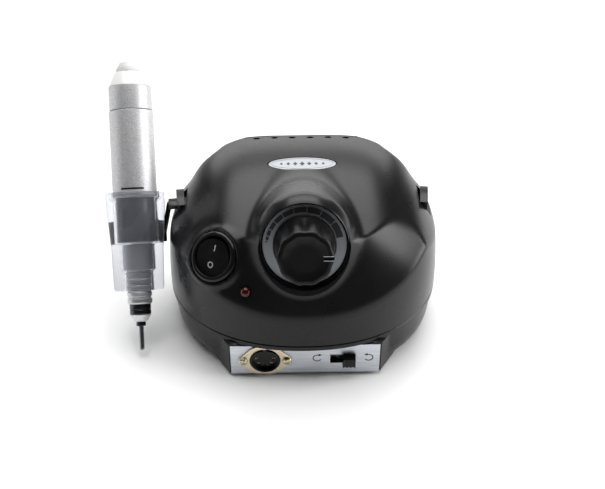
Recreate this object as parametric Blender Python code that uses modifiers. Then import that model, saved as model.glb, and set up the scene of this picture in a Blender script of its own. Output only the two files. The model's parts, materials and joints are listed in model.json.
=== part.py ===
"""Electric nail drill: a moulded mains control box and a micromotor handpiece resting at its left side.

Lengths below are in millimetres and are turned into metres when a mesh is made.
X runs to the right of the control box, Y to its back, Z up. The box stands on four rubber feet at Z = 0.
"""
import math

import bmesh
import bpy
import numpy as np
from mathutils import Matrix, Vector

MM = 0.001
# The control box is laid out about its own middle, then everything is moved so that the
# middle of the whole object's footprint is at the origin.
FRAME_SHIFT = (15.76, 11.22)

# --- control box ------------------------------------------------------------
OUTLINE_POWER = 2.2
OUTLINE_MIDDLE_Y = -2.0
HALF_WIDTH = 70.8
FRONT_DEPTH = 65.2
REAR_DEPTH = 56.0
REAR_FLAT_Y = 46.0
PARTING_Z = 25.0
PARTING_GAP = 0.3
WALL = 2.4
WALL_CURVE = 2.3
WALL_CURVE_HEIGHT = 35.0
REAR_CURVE_SHARE = 0.2
HOOD_TOP_Z = 82.0
HOOD_CREST_Y = 8.0
HOOD_FALL_FRONT = 0.0026
HOOD_FALL_REAR = 0.0030
HOOD_FALL_SIDE = 1.227e-6
# The sloping face between the side wall and the hood, against the angle round from the front:
# the height of its lower edge, and how far its upper edge is from the outline's middle.
SHOULDER_ANGLES = (0.0, 12.0, 22.0, 38.0, 50.0, 62.0, 75.0, 95.0, 120.0, 180.0)
SHOULDER_Z = (41.0, 41.8, 44.0, 49.3, 55.0, 61.0, 64.0, 60.0, 60.0, 62.0)
HOOD_EDGE_ANGLES = (0.0, 78.0, 90.0, 100.0, 110.0, 117.0, 124.0, 130.0, 136.0, 142.0, 150.0)
HOOD_EDGE_RADII = (50.5, 50.8, 53.2, 56.5, 61.0, 63.5, 60.5, 58.2, 59.2, 62.0, 70.0)
HOOD_EDGE_LIMIT = 0.985
EDGE_SOFTNESS = 2.0

# --- dial boss --------------------------------------------------------------
DIAL_CENTRE = (0.0, -49.0, 74.4)
DIAL_ELEVATION = 20.7
BOSS_LIP_RADIUS = 21.4
BOSS_RADIUS = 24.2
BOSS_FLARE_LENGTH = 9.0
BOSS_LENGTH = 60.0
BOSS_LIP_HEIGHT = 1.5
BOSS_BLEND = 6.0
DIAL_RECESS_RADIUS = 20.5
DIAL_FLOOR = -1.0
DIAL_FLOOR_BACK = -3.4
DIAL_PLATE_RADIUS = 20.1
DIAL_PLATE_THICKNESS = 0.7
BUSHING_HOLE_RADIUS = 4.0
SHELL_SEGMENTS = 40
SHELL_RAY_START = (0.0, -2.0, 40.0)
INNER_RINGS = 12
OUTER_RINGS = 19

# --- speed knob -------------------------------------------------------------
KNOB_FLUTES = 10
KNOB_SKIRT_RADIUS = 15.1
KNOB_FACE_RADIUS = 12.6
KNOB_HEIGHT = 22.0
KNOB_BASE = 0.6
KNOB_RELIEF_RADIUS = 7.5
KNOB_RELIEF_TOP = 4.2
KNOB_BORE_RADIUS = 3.3
KNOB_BORE_TOP = 16.0
KNOB_FLUTE_DEPTH = 1.3
POINTER_SLOT_LENGTH = 5.0
POINTER_SLOT_WIDTH = 1.6
POINTER_SLOT_DEPTH = 1.0
POINTER_SLOT_RADIUS = 10.4

# --- lower shell ------------------------------------------------------------
FLOOR_Z = 2.0
FLOOR_INSIDE_Z = 4.4
BOWL_ROUND = 4.5
BOWL_ROUND_HEIGHT = 10.0
BOWL_LEAN = 0.025
BOWL_STEP = 1.4
LIP_Z = 21.9
PLATE_PLANE_Y = -61.4
PLATE_HALF_WIDTH = 37.5
PLATE_BOTTOM_Z = 2.2
PLATE_TOP_Z = 21.1
PLATE_THICKNESS = 0.6
PLATE_SIDE_RUN = 10.0
PLATE_SIDE_REACH = 16.0

# --- front fittings ---------------------------------------------------------
SOCKET_X = -20.2
SOCKET_Z = 11.7
SOCKET_SCREW_OFFSET = 11.1
SOCKET_RADIUS = 7.4
PIN_COUNT = 5
PIN_CIRCLE_RADIUS = 4.6
PIN_HOLE_RADIUS = 0.9
SLIDER_X = 21.9
SLIDER_SIZE = (6.5, 7.2, 5.2)
SLIDER_TRAVEL = 6.0
SLOT_X = 19.0
SLOT_HALF_WIDTH = (SLIDER_SIZE[0] + SLIDER_TRAVEL) / 2 + 0.2
SLOT_Z = 11.7

# --- rocker, lamp and badge -------------------------------------------------
ROCKER_AIM = (-43.6, -43.4, 63.3)
ROCKER_ELEVATION = 40.5
ROCKER_BEARING = 34.0
ROCKER_FLANGE_RADIUS = 12.4
ROCKER_BARREL_RADIUS = 10.9
ROCKER_WINDOW_RADIUS = 9.9
ROCKER_SEAT = -1.2
ROCKER_PIVOT = -1.0
ROCKER_TILT = 10.0
ROCKER_BODY_TOP = -8.6
LAMP_AIM = (-28.5, -57.7, 53.0)
LAMP_RADIUS = 2.5
BADGE_CENTRE_Y = 9.5
BADGE_HALF_WIDTH = 17.5
BADGE_HALF_DEPTH = 6.0
VENT_COUNT = 6
VENT_PITCH = 9.7
VENT_WIDTH = 3.2
VENT_LENGTH = 2.4
VENT_MIDDLE_Y = 40.0
VENT_DEPTH = 9.0

# --- side inserts and handpiece rest ----------------------------------------
INSERT_X = 64.2
INSERT_Y = 5.0
INSERT_Z = 61.0
INSERT_TURN = math.radians(7.0)
INSERT_DEPTH = 5.0
INSERT_LENGTH = 15.0
INSERT_HEIGHT = 8.0
REST_TAB_X = -64.8
REST_TAB_LENGTH = 11.0
REST_TAB_WIDTH = 7.0
REST_TAB_THICKNESS = 2.4
REST_STATION = 62.0
REST_LENGTH = 12.0
REST_INNER_RADIUS = 15.0
REST_THICKNESS = 3.2
REST_SPREAD = 55.0
REST_ARM_START = (-73.4, 0.8, 46.0)
REST_ARM_END = (-69.9, 6.5, 60.8)
REST_ARM_SECTION = (4.0, 2.6)

# --- posts, screws and feet -------------------------------------------------
CASE_SCREWS = ((-45.0, -10.0), (45.0, -10.0), (-44.0, 24.0), (44.0, 24.0))
POST_RADIUS = 3.8
POST_COVER = 0.6
FEET = ((-36.0, -40.0), (36.0, -40.0), (-30.0, 30.0), (30.0, 30.0))
FOOT_RADIUS = 6.5

# --- rear fittings ----------------------------------------------------------
REAR_FITTING_Z = 13.5
GLAND_X = -24.0
GLAND_END_Y = 51.2
JACK_X = -8.0
MODE_SWITCH_X = 8.0
FUSE_X = 24.0

# --- inside the box ---------------------------------------------------------
TRANSFORMER_MIDDLE = (22.0, -6.0, 25.0)
BOARD_MIDDLE = (-18.5, -10.0)
BOARD_TOP = 9.6

# --- handpiece --------------------------------------------------------------
HANDPIECE_TIP = (-84.2, -46.4, 4.3)
HANDPIECE_LEAN_BACK = 38.0
HANDPIECE_LEAN_LEFT = 2.0
TURNED_STEPS = 18
GROOVE_COUNT = 5
GROOVE_PITCH = 3.3

COLLECTION_NAME = "electric_nail_drill"
WELD_DISTANCE = 0.000001


# --- scene helpers ----------------------------------------------------------
def clear_scene():
    for obj in list(bpy.data.objects):
        bpy.data.objects.remove(obj, do_unlink=True)


def new_collection(name):
    collection = bpy.data.collections.new(name)
    bpy.context.scene.collection.children.link(collection)
    return collection


clear_scene()
PARTS = new_collection(COLLECTION_NAME)
CUTTERS = new_collection("cutters")


def material(name, colour, roughness, metallic=0.0, transmission=0.0):
    mat = bpy.data.materials.new(name)
    mat.use_nodes = True
    shader = mat.node_tree.nodes["Principled BSDF"]
    shader.inputs["Base Color"].default_value = (*colour, 1.0)
    shader.inputs["Roughness"].default_value = roughness
    shader.inputs["Metallic"].default_value = metallic
    shader.inputs["Transmission Weight"].default_value = transmission
    mat.diffuse_color = (*colour, 1.0)
    return mat


def look(finish, name):
    """A material of its own for one piece, from a named finish."""
    colour, roughness, metallic, transmission = FINISHES[finish]
    return material(f"{finish}_{name}", colour, roughness, metallic, transmission)


FINISHES = {
    "black_abs": ((0.020, 0.020, 0.022), 0.45, 0.0, 0.0),
    "gloss_black": ((0.012, 0.012, 0.013), 0.25, 0.0, 0.0),
    "steel": ((0.62, 0.63, 0.65), 0.35, 1.0, 0.0),
    "dark_steel": ((0.10, 0.10, 0.11), 0.40, 1.0, 0.0),
    "aluminium": ((0.72, 0.73, 0.75), 0.45, 1.0, 0.0),
    "printed_silver": ((0.55, 0.56, 0.58), 0.35, 0.8, 0.0),
    "brass": ((0.78, 0.57, 0.24), 0.30, 1.0, 0.0),
    "copper": ((0.72, 0.35, 0.20), 0.40, 1.0, 0.0),
    "rubber": ((0.03, 0.03, 0.03), 0.90, 0.0, 0.0),
    "board": ((0.05, 0.22, 0.10), 0.60, 0.0, 0.0),
    "silicone": ((0.75, 0.78, 0.82), 0.40, 0.0, 0.6),
    "blue_black": ((0.02, 0.03, 0.06), 0.30, 0.0, 0.0),
    "white_abs": ((0.80, 0.80, 0.80), 0.40, 0.0, 0.0),
    "grey_pvc": ((0.60, 0.61, 0.62), 0.55, 0.0, 0.0),
    "red_lens": ((0.55, 0.02, 0.03), 0.20, 0.0, 0.3),
    "glass": ((0.90, 0.92, 0.92), 0.05, 0.0, 0.9),
}


def placed(point):
    """A control box point in millimetres, as a scene point in metres."""
    return Vector((point[0] + FRAME_SHIFT[0], point[1] + FRAME_SHIFT[1], point[2])) * MM


def frame_at(point, axis, up=(0.0, 0.0, 1.0)):
    """Placement with local Z along the axis and local Y as near to the given up as it can be."""
    z_axis = Vector(axis).normalized()
    x_axis = Vector(up).cross(z_axis).normalized()
    y_axis = z_axis.cross(x_axis)
    turn = Matrix((x_axis, y_axis, z_axis)).transposed().to_4x4()
    return Matrix.Translation(placed(point)) @ turn


def upright(point):
    return Matrix.Translation(placed(point))


def add_object(name, mesh, placement, finish):
    """Put a mesh in the scene as a piece, or as a cutter when it has no finish."""
    obj = bpy.data.objects.new(name, mesh)
    obj.matrix_world = placement
    if finish is None:
        CUTTERS.objects.link(obj)
        obj.hide_render = True
        obj.display_type = "WIRE"
    else:
        PARTS.objects.link(obj)
        mesh.materials.append(look(finish, name))
    return obj


def add_mesh(name, vertices, edges, faces, placement, finish=None):
    """A smooth piece or cutter from local millimetre coordinates."""
    mesh = bpy.data.meshes.new(name)
    mesh.from_pydata([tuple(c * MM for c in v) for v in vertices], edges, faces)
    mesh.shade_smooth()
    return add_object(name, mesh, placement, finish)


def add_shape(name, shape, placement, finish=None):
    """A piece or cutter from a bmesh whose coordinates are in metres."""
    mesh = bpy.data.meshes.new(name)
    shape.to_mesh(mesh)
    shape.free()
    return add_object(name, mesh, placement, finish)


def turned(name, profile, placement, finish=None, steps=TURNED_STEPS, hollow=False):
    """A solid of revolution about local Z from (radius, height) points listed from bottom to top.

    A hollow piece lists its outside from bottom to top and then its bore from top to bottom.
    """
    vertices = [(r, 0.0, h) for r, h in profile]
    edges = [(i, i + 1) for i in range(len(profile) - 1)]
    if hollow:
        edges.append((len(profile) - 1, 0))
    obj = add_mesh(name, vertices, edges, [], placement, finish)
    screw = obj.modifiers.new("turn", "SCREW")
    screw.axis = "Z"
    screw.angle = math.tau
    screw.steps = steps
    screw.render_steps = steps
    screw.use_merge_vertices = True
    screw.merge_threshold = WELD_DISTANCE
    screw.use_smooth_shade = True
    screw.use_normal_flip = True
    return obj


def rod(name, radius, bottom, top, placement, finish=None, steps=TURNED_STEPS):
    """A cylinder along local Z from one height to another."""
    shape = bmesh.new()
    middle = Matrix.Translation((0, 0, (top + bottom) / 2 * MM))
    bmesh.ops.create_cone(shape, cap_ends=True, segments=steps, radius1=radius * MM, radius2=radius * MM,
                          depth=(top - bottom) * MM, matrix=middle)
    return add_shape(name, shape, placement, finish)


def tube(name, outer, inner, bottom, top, placement, finish=None, steps=TURNED_STEPS):
    profile = ((outer, bottom), (outer, top), (inner, top), (inner, bottom))
    return turned(name, profile, placement, finish, steps, hollow=True)


def block(name, size, placement, finish=None, bevel=0.0):
    """A box centred on its placement, with its edges broken by a small chamfer."""
    shape = bmesh.new()
    bmesh.ops.create_cube(shape, size=1.0, matrix=Matrix.Diagonal((*(s * MM for s in size), 1.0)))
    obj = add_shape(name, shape, placement, finish)
    if bevel > 0:
        chamfer = obj.modifiers.new("edges", "BEVEL")
        chamfer.width = bevel * MM
        chamfer.segments = 1
    return obj


def prism(name, outline, bottom, top, placement, finish=None):
    """A flat outline given a thickness along local Z."""
    curve = bpy.data.curves.new(name, "CURVE")
    curve.dimensions = "2D"
    curve.fill_mode = "BOTH"
    curve.extrude = (top - bottom) / 2 * MM
    spline = curve.splines.new("POLY")
    spline.use_cyclic_u = True
    spline.points.add(len(outline) - 1)
    for point, (x, y) in zip(spline.points, outline):
        point.co = (x * MM, y * MM, 0.0, 1.0)
    flat = bpy.data.objects.new(f"{name}_outline", curve)
    CUTTERS.objects.link(flat)
    evaluated = flat.evaluated_get(bpy.context.evaluated_depsgraph_get())
    shape = bmesh.new()
    shape.from_mesh(bpy.data.meshes.new_from_object(evaluated))
    bpy.data.objects.remove(flat)
    bmesh.ops.remove_doubles(shape, verts=shape.verts, dist=WELD_DISTANCE)
    bmesh.ops.translate(shape, verts=shape.verts, vec=(0, 0, (top + bottom) / 2 * MM))
    bmesh.ops.recalc_face_normals(shape, faces=shape.faces)
    return add_shape(name, shape, placement, finish)


def ellipse(half_x, half_y, count=32):
    angles = [math.tau * i / count for i in range(count)]
    return [(half_x * math.cos(a), half_y * math.sin(a)) for a in angles]


def ring_stack(name, rings, placement, finish, close_start=None, close_end=None):
    """A closed skin through a list of rings of points.

    Each ring runs counter-clockwise seen from above, and the stack climbs the outside. With no
    closing points the last ring joins back to the first.
    """
    count = len(rings[0])
    vertices = [tuple(p) for ring in rings for p in ring]
    faces = []
    joins = len(rings) - 1 if close_start is not None else len(rings)
    for r in range(joins):
        here, there = r * count, ((r + 1) % len(rings)) * count
        for i in range(count):
            j = (i + 1) % count
            faces.append((here + i, here + j, there + j, there + i))
    if close_start is not None:
        start = len(vertices)
        vertices.append(tuple(close_start))
        faces += [(start, (i + 1) % count, i) for i in range(count)]
        end = len(vertices)
        vertices.append(tuple(close_end))
        last = (len(rings) - 1) * count
        faces += [(end, last + i, last + (i + 1) % count) for i in range(count)]
    return add_mesh(name, vertices, [], faces, placement, finish)


def boolean(target, other, operation="DIFFERENCE"):
    modifier = target.modifiers.new(operation.lower(), "BOOLEAN")
    modifier.operation = operation
    modifier.solver = "EXACT"
    modifier.object = other
    return modifier


# --- the control box surface ------------------------------------------------
DIAL_AXIS = np.array([0.0, -math.cos(math.radians(DIAL_ELEVATION)), math.sin(math.radians(DIAL_ELEVATION))])
DIAL_UP = np.array([0.0, math.sin(math.radians(DIAL_ELEVATION)), math.cos(math.radians(DIAL_ELEVATION))])
DIAL_RIGHT = np.array([1.0, 0.0, 0.0])


def outline_ratio(x, y, inset=0.0):
    """1 on the plan outline, less inside it."""
    depth = np.where(y < OUTLINE_MIDDLE_Y, FRONT_DEPTH, REAR_DEPTH) - inset
    across = (np.abs(x) / (HALF_WIDTH - inset)) ** OUTLINE_POWER
    along = (np.abs(y - OUTLINE_MIDDLE_Y) / depth) ** OUTLINE_POWER
    return (across + along) ** (1 / OUTLINE_POWER)


def outline_point(angle, inset, z):
    """The plan outline at an angle round from the front, counter-clockwise seen from above."""
    dx, dy = math.sin(angle), -math.cos(angle)
    reach = 1.0 / float(outline_ratio(np.array(dx), np.array(dy + OUTLINE_MIDDLE_Y), inset))
    x, y = dx * reach, OUTLINE_MIDDLE_Y + dy * reach
    rear = REAR_FLAT_Y - inset
    if y > rear:
        x *= (rear - OUTLINE_MIDDLE_Y) / (y - OUTLINE_MIDDLE_Y)
        y = rear
    return (x, y, z)


def soft_max(a, b, softness):
    blend = np.clip(0.5 + 0.5 * (a - b) / softness, 0.0, 1.0)
    return b + (a - b) * blend + softness * blend * (1.0 - blend)


def soft_min(a, b, softness):
    return -soft_max(-a, -b, softness)


def wall_inset(z):
    """How far the barrel-shaped side wall has come in at a height."""
    return WALL_CURVE * (np.maximum(z - PARTING_Z, 0.0) / WALL_CURVE_HEIGHT) ** 2


def hood_height(x, y):
    fall = np.where(y < HOOD_CREST_Y, HOOD_FALL_FRONT, HOOD_FALL_REAR)
    return HOOD_TOP_Z - fall * (y - HOOD_CREST_Y) ** 2 - HOOD_FALL_SIDE * x ** 4


def shoulder_face(x, y, z, inward):
    """Distance outside the face that runs from the side wall up to the hood's edge."""
    angle = np.arctan2(x, OUTLINE_MIDDLE_Y - y)
    bearing = np.degrees(np.abs(angle))
    radius = np.interp(bearing, HOOD_EDGE_ANGLES, HOOD_EDGE_RADII)
    across, along = np.sin(angle), -np.cos(angle)
    reach = outline_ratio(radius * across, OUTLINE_MIDDLE_Y + radius * along)
    radius = radius * np.minimum(1.0, HOOD_EDGE_LIMIT / reach)
    reach = np.minimum(reach, HOOD_EDGE_LIMIT)
    low = np.interp(bearing, SHOULDER_ANGLES, SHOULDER_Z)
    rise = hood_height(radius * across, OUTLINE_MIDDLE_Y + radius * along) - low
    run = np.maximum((1.0 - reach) * FRONT_DEPTH - wall_inset(low), 0.1)
    slope = np.arctan2(rise, run)
    return (z - low) * np.cos(slope) - (inward - wall_inset(low)) * np.sin(slope)


def shell_field(points):
    """Negative inside the upper shell's outer surface, zero on it; close to a distance in mm."""
    x, y, z = points[:, 0], points[:, 1], points[:, 2]
    inward = (1.0 - outline_ratio(x, y)) * FRONT_DEPTH
    wall = wall_inset(z) - inward
    rear = y - REAR_FLAT_Y + wall_inset(z) * REAR_CURVE_SHARE
    hood = z - hood_height(x, y)
    face = shoulder_face(x, y, z, inward)
    sides = soft_max(wall, rear, EDGE_SOFTNESS)
    body = soft_max(sides, soft_max(hood, face, EDGE_SOFTNESS), EDGE_SOFTNESS)
    from_dial = points - np.array(DIAL_CENTRE)
    along = from_dial @ DIAL_AXIS
    radius = np.linalg.norm(from_dial - along[:, None] * DIAL_AXIS, axis=1)
    flare = np.clip((BOSS_LIP_HEIGHT - along) / BOSS_FLARE_LENGTH, 0.0, 1.0)
    boss_radius = BOSS_LIP_RADIUS + (BOSS_RADIUS - BOSS_LIP_RADIUS) * np.sin(flare * math.pi / 2)
    boss = np.maximum(np.maximum(radius - boss_radius, along - BOSS_LIP_HEIGHT), -BOSS_LENGTH - along)
    return soft_min(body, boss, BOSS_BLEND)


def ray_hits(start, directions, depth):
    """How far each ray goes before it is the given depth under the outer surface."""
    near = np.zeros(len(directions))
    far = np.full(len(directions), 130.0)
    for _ in range(40):
        middle = (near + far) / 2
        inside = shell_field(start + directions * middle[:, None]) + depth < 0
        near = np.where(inside, middle, near)
        far = np.where(inside, far, middle)
    return start + directions * near[:, None]


def dial_circle(radius, height):
    """Points round the dial axis; the first is at the bottom and they run clockwise seen from the front."""
    angles = np.array([math.tau * i / SHELL_SEGMENTS for i in range(SHELL_SEGMENTS)])
    centre = np.array(DIAL_CENTRE) + height * DIAL_AXIS
    across = np.sin(angles)[:, None] * DIAL_RIGHT
    return centre + radius * (across - np.cos(angles)[:, None] * DIAL_UP)


def skin_rings(first, last, depth, count, crowd):
    """Rings over the shell surface from the dial circle to the parting line."""
    start = np.array(SHELL_RAY_START)
    a = (first - start) / np.linalg.norm(first - start, axis=1)[:, None]
    b = (last - start) / np.linalg.norm(last - start, axis=1)[:, None]
    sweep = np.arccos(np.clip((a * b).sum(axis=1), -1.0, 1.0))[:, None]
    rings = []
    for i in range(1, count):
        t = (i / count) ** crowd
        direction = (np.sin((1 - t) * sweep) * a + np.sin(t * sweep) * b) / np.sin(sweep)
        rings.append(ray_hits(start, direction, depth))
    return rings


def parting_ring(inset, z):
    angles = [math.tau * i / SHELL_SEGMENTS for i in range(SHELL_SEGMENTS)]
    return np.array([outline_point(a, inset, z) for a in angles])


def build_upper_shell():
    lower_edge = PARTING_Z + PARTING_GAP / 2
    outer_edge = parting_ring(0.0, lower_edge)
    inner_edge = parting_ring(WALL, lower_edge)
    lip = dial_circle(BOSS_LIP_RADIUS - 0.3, BOSS_LIP_HEIGHT)
    inner_start = dial_circle(BOSS_LIP_RADIUS - WALL + 1.2, DIAL_FLOOR_BACK)
    rings = [inner_edge]
    rings += list(reversed(skin_rings(inner_start, inner_edge, WALL, INNER_RINGS, 1.2)))
    rings += [inner_start, dial_circle(BUSHING_HOLE_RADIUS, DIAL_FLOOR_BACK)]
    rings += [dial_circle(BUSHING_HOLE_RADIUS, DIAL_FLOOR), dial_circle(DIAL_RECESS_RADIUS, DIAL_FLOOR)]
    rings += [dial_circle(DIAL_RECESS_RADIUS, BOSS_LIP_HEIGHT), lip]
    rings += skin_rings(lip, outer_edge, 0.0, OUTER_RINGS, 1.35)
    rings += [outer_edge]
    return ring_stack("upper_shell", rings[::-1], upright((0, 0, 0)), "black_abs")


def surface_frame(aim, axis=None):
    """Where the line from inside the box through a point meets the surface, and the outward normal."""
    start = np.array(SHELL_RAY_START)
    direction = np.array(aim) - start
    direction /= np.linalg.norm(direction)
    point = ray_hits(start, direction[None, :], 0.0)[0]
    if axis is None:
        step = 0.5
        gradient = [
            (shell_field((point + step * e)[None, :]) - shell_field((point - step * e)[None, :]))[0]
            for e in np.eye(3)
        ]
        axis = np.array(gradient) / np.linalg.norm(gradient)
    return point, axis


def plate_zone_reach(angle):
    """Polar reach from the outline's middle to the flat front panel and the cheeks beside it."""
    dx, dy = math.sin(angle), -math.cos(angle)
    if dy > -0.3:
        return None, None
    front = (PLATE_PLANE_Y - OUTLINE_MIDDLE_Y) / dy
    if abs(front * dx) <= PLATE_HALF_WIDTH + 0.8:
        return front, None
    # The cheek runs back and outwards from the panel's edge.
    edge_x = PLATE_HALF_WIDTH + 0.8
    edge_y = PLATE_PLANE_Y - OUTLINE_MIDDLE_Y
    normal = (PLATE_SIDE_REACH, -PLATE_SIDE_RUN)
    offset = normal[0] * edge_x + normal[1] * edge_y
    closing = normal[0] * abs(dx) + normal[1] * dy
    if closing <= 0:
        return None, None
    return None, offset / closing


def bowl_inset(z):
    curve = min(max((FLOOR_Z + BOWL_ROUND_HEIGHT - z) / BOWL_ROUND_HEIGHT, 0.0), 1.0)
    step = BOWL_STEP if z < LIP_Z else 0.0
    return BOWL_ROUND * (1 - math.sqrt(1 - curve ** 2)) + BOWL_LEAN * (PARTING_Z - z) + step


def lower_ring(z, panel, inset=0.0):
    """The lower shell's outline at a height; with a panel it is cut flat or filled out at the front."""
    points = []
    for angle in LOWER_ANGLES:
        x, y, _ = outline_point(angle, bowl_inset(z) + inset, z)
        reach = math.hypot(x, y - OUTLINE_MIDDLE_Y)
        flat, cheek = plate_zone_reach(angle) if panel else (None, None)
        if flat is not None:
            reach = flat - inset
        elif cheek is not None:
            reach = max(reach, cheek - inset)
        points.append((reach * math.sin(angle), OUTLINE_MIDDLE_Y - reach * math.cos(angle), z))
    return points


def panel_angles():
    """Evenly spaced angles, with the ones beside the panel's two upright edges moved onto them."""
    angles = [math.tau * i / SHELL_SEGMENTS for i in range(SHELL_SEGMENTS)]
    corner = math.atan2(PLATE_HALF_WIDTH + 0.8, OUTLINE_MIDDLE_Y - PLATE_PLANE_Y)
    for target in (corner, math.tau - corner):
        nearest = min(range(SHELL_SEGMENTS), key=lambda i: abs(angles[i] - target))
        angles[nearest] = target
    return angles


LOWER_ANGLES = panel_angles()


def build_lower_shell():
    top = PARTING_Z - PARTING_GAP / 2
    outer_levels = (LIP_Z - 0.5, 16.0, FLOOR_Z + 8.0, FLOOR_Z + 5.0, FLOOR_Z + 2.5, FLOOR_Z + 0.8, FLOOR_Z)
    inner_levels = (FLOOR_INSIDE_Z, 7.0, 12.0, LIP_Z - 1.5)
    rings = [lower_ring(z, True, WALL) for z in inner_levels]
    rings += [lower_ring(top, False, WALL)]
    rings += [lower_ring(top, False), lower_ring(LIP_Z, False)]
    rings += [lower_ring(z, True) for z in outer_levels]
    inside = (0.0, OUTLINE_MIDDLE_Y, FLOOR_INSIDE_Z)
    outside = (0.0, OUTLINE_MIDDLE_Y, FLOOR_Z)
    return ring_stack("lower_shell", rings[::-1], upright((0, 0, 0)), "black_abs", outside, inside)


def build_knob(placement):
    """Round skirt, tapered body with scalloped finger flutes, relief and shaft bore behind."""
    count = KNOB_FLUTES * 6
    heights = (KNOB_BASE, 2.4, 3.0, 8.0, 14.0, KNOB_HEIGHT - 0.7, KNOB_HEIGHT)

    def ring(radius, height, depth=0.0):
        points = []
        for i in range(count):
            angle = math.tau * i / count
            wave = 0.5 + 0.5 * math.cos(KNOB_FLUTES * (angle - math.pi / 2))
            r = radius - depth * wave ** 1.5
            points.append((r * math.cos(angle), r * math.sin(angle), height))
        return points

    rings = [ring(KNOB_BORE_RADIUS, KNOB_BORE_TOP), ring(KNOB_BORE_RADIUS, KNOB_RELIEF_TOP)]
    rings += [ring(KNOB_RELIEF_RADIUS, KNOB_RELIEF_TOP), ring(KNOB_RELIEF_RADIUS, KNOB_BASE)]
    rings += [ring(KNOB_SKIRT_RADIUS, heights[0]), ring(KNOB_SKIRT_RADIUS, heights[1])]
    for height in heights[2:6]:
        share = (height - heights[2]) / (KNOB_HEIGHT - heights[2])
        radius = KNOB_SKIRT_RADIUS - 0.8 - (KNOB_SKIRT_RADIUS - 0.8 - KNOB_FACE_RADIUS) * share
        rings.append(ring(radius, height, KNOB_FLUTE_DEPTH * share ** 0.7))
    rings.append(ring(KNOB_FACE_RADIUS - 0.7, heights[6], KNOB_FLUTE_DEPTH))
    knob = ring_stack("speed_knob", rings, placement, "black_abs",
                      (0.0, 0.0, KNOB_BORE_TOP), (0.0, 0.0, KNOB_HEIGHT))
    slot_size = (POINTER_SLOT_LENGTH, POINTER_SLOT_WIDTH, 2 * POINTER_SLOT_DEPTH)
    slot_place = placement @ Matrix.Translation(Vector((POINTER_SLOT_RADIUS, 0, KNOB_HEIGHT)) * MM)
    boolean(knob, block("knob_pointer_cutter", slot_size, slot_place))
    return knob


def build_dial():
    place = frame_at(DIAL_CENTRE, DIAL_AXIS)
    tube("dial_plate", DIAL_PLATE_RADIUS, BUSHING_HOLE_RADIUS + 0.2, -DIAL_PLATE_THICKNESS, 0, place,
         "printed_silver", SHELL_SEGMENTS)
    build_knob(place)
    rod("potentiometer_shaft", 3.0, -16.0, KNOB_BORE_TOP - 0.4, place, "steel", 16)
    pot = ((0, -20.5), (8.5, -20.5), (8.5, -4.0), (3.7, -4.0), (3.7, 3.2), (3.3, 3.2), (3.3, -17.0),
           (0, -17.0))
    turned("potentiometer_body", pot, place, "steel", 16)
    nut = rod("potentiometer_nut", 5.6, 0.3, 2.5, place, "brass", steps=6)
    boolean(nut, rod("pot_nut_cutter", 4.0, -1.0, 4.0, place, steps=20))


def build_rocker():
    elevation, bearing = math.radians(ROCKER_ELEVATION), math.radians(ROCKER_BEARING)
    axis = (-math.sin(bearing) * math.cos(elevation), -math.cos(bearing) * math.cos(elevation),
            math.sin(elevation))
    point, _ = surface_frame(ROCKER_AIM, axis)
    place = frame_at(point, axis)
    boolean(upper_shell, rod("rocker_seat_cutter", ROCKER_FLANGE_RADIUS + 0.4, ROCKER_SEAT, 8.0, place))
    boolean(upper_shell, rod("rocker_hole_cutter", ROCKER_BARREL_RADIUS + 0.3, -12.0, 2.0, place))
    seat = ROCKER_SEAT + 0.1
    bezel = ((ROCKER_BARREL_RADIUS, -14.0), (ROCKER_BARREL_RADIUS, seat), (ROCKER_FLANGE_RADIUS, seat),
             (ROCKER_FLANGE_RADIUS, 1.2), (ROCKER_FLANGE_RADIUS - 0.9, 2.2), (ROCKER_WINDOW_RADIUS, 2.2),
             (ROCKER_WINDOW_RADIUS, -14.0))
    turned("rocker_bezel", bezel, place, "gloss_black", hollow=True)
    rod("rocker_switch_body", ROCKER_WINDOW_RADIUS - 0.3, -20.0, ROCKER_BODY_TOP, place, "gloss_black")
    # The paddle is part of a ball about its pivot, so it turns inside the window without touching.
    ball, pivot, count = ROCKER_WINDOW_RADIUS - 0.3, ROCKER_PIVOT, 28

    def top(y):
        return 2.6 + math.tan(math.radians(ROCKER_TILT)) * y + 0.06 * abs(y)

    def ring(share, height=None):
        points = []
        for i in range(count):
            angle = math.tau * i / count
            r = ball * share
            for _ in range(6):
                h = top(r * math.sin(angle)) if height is None else height
                r = share * math.sqrt(ball ** 2 - h ** 2)
            points.append((r * math.cos(angle), r * math.sin(angle), h))
        return points

    rings = [ring(1.0, -4.5), ring(1.0, -1.6), ring(1.0), ring(0.5)]
    pivot_place = place @ Matrix.Translation(Vector((0, 0, pivot)) * MM)
    ring_stack("rocker_paddle", rings, pivot_place, "gloss_black", (0, 0, -4.5), (0, 0, top(0)))


def build_lamp():
    point, axis = surface_frame(LAMP_AIM)
    place = frame_at(point, axis)
    boolean(upper_shell, rod("lamp_hole_cutter", LAMP_RADIUS + 0.3, -8.0, 6.0, place, steps=16))
    dome = ((0, -6.0), (LAMP_RADIUS, -6.0), (LAMP_RADIUS, 0.5), (2.2, 1.6), (1.4, 2.4), (0, 2.8))
    turned("power_lamp", dome, place, "red_lens", 16)


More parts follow.
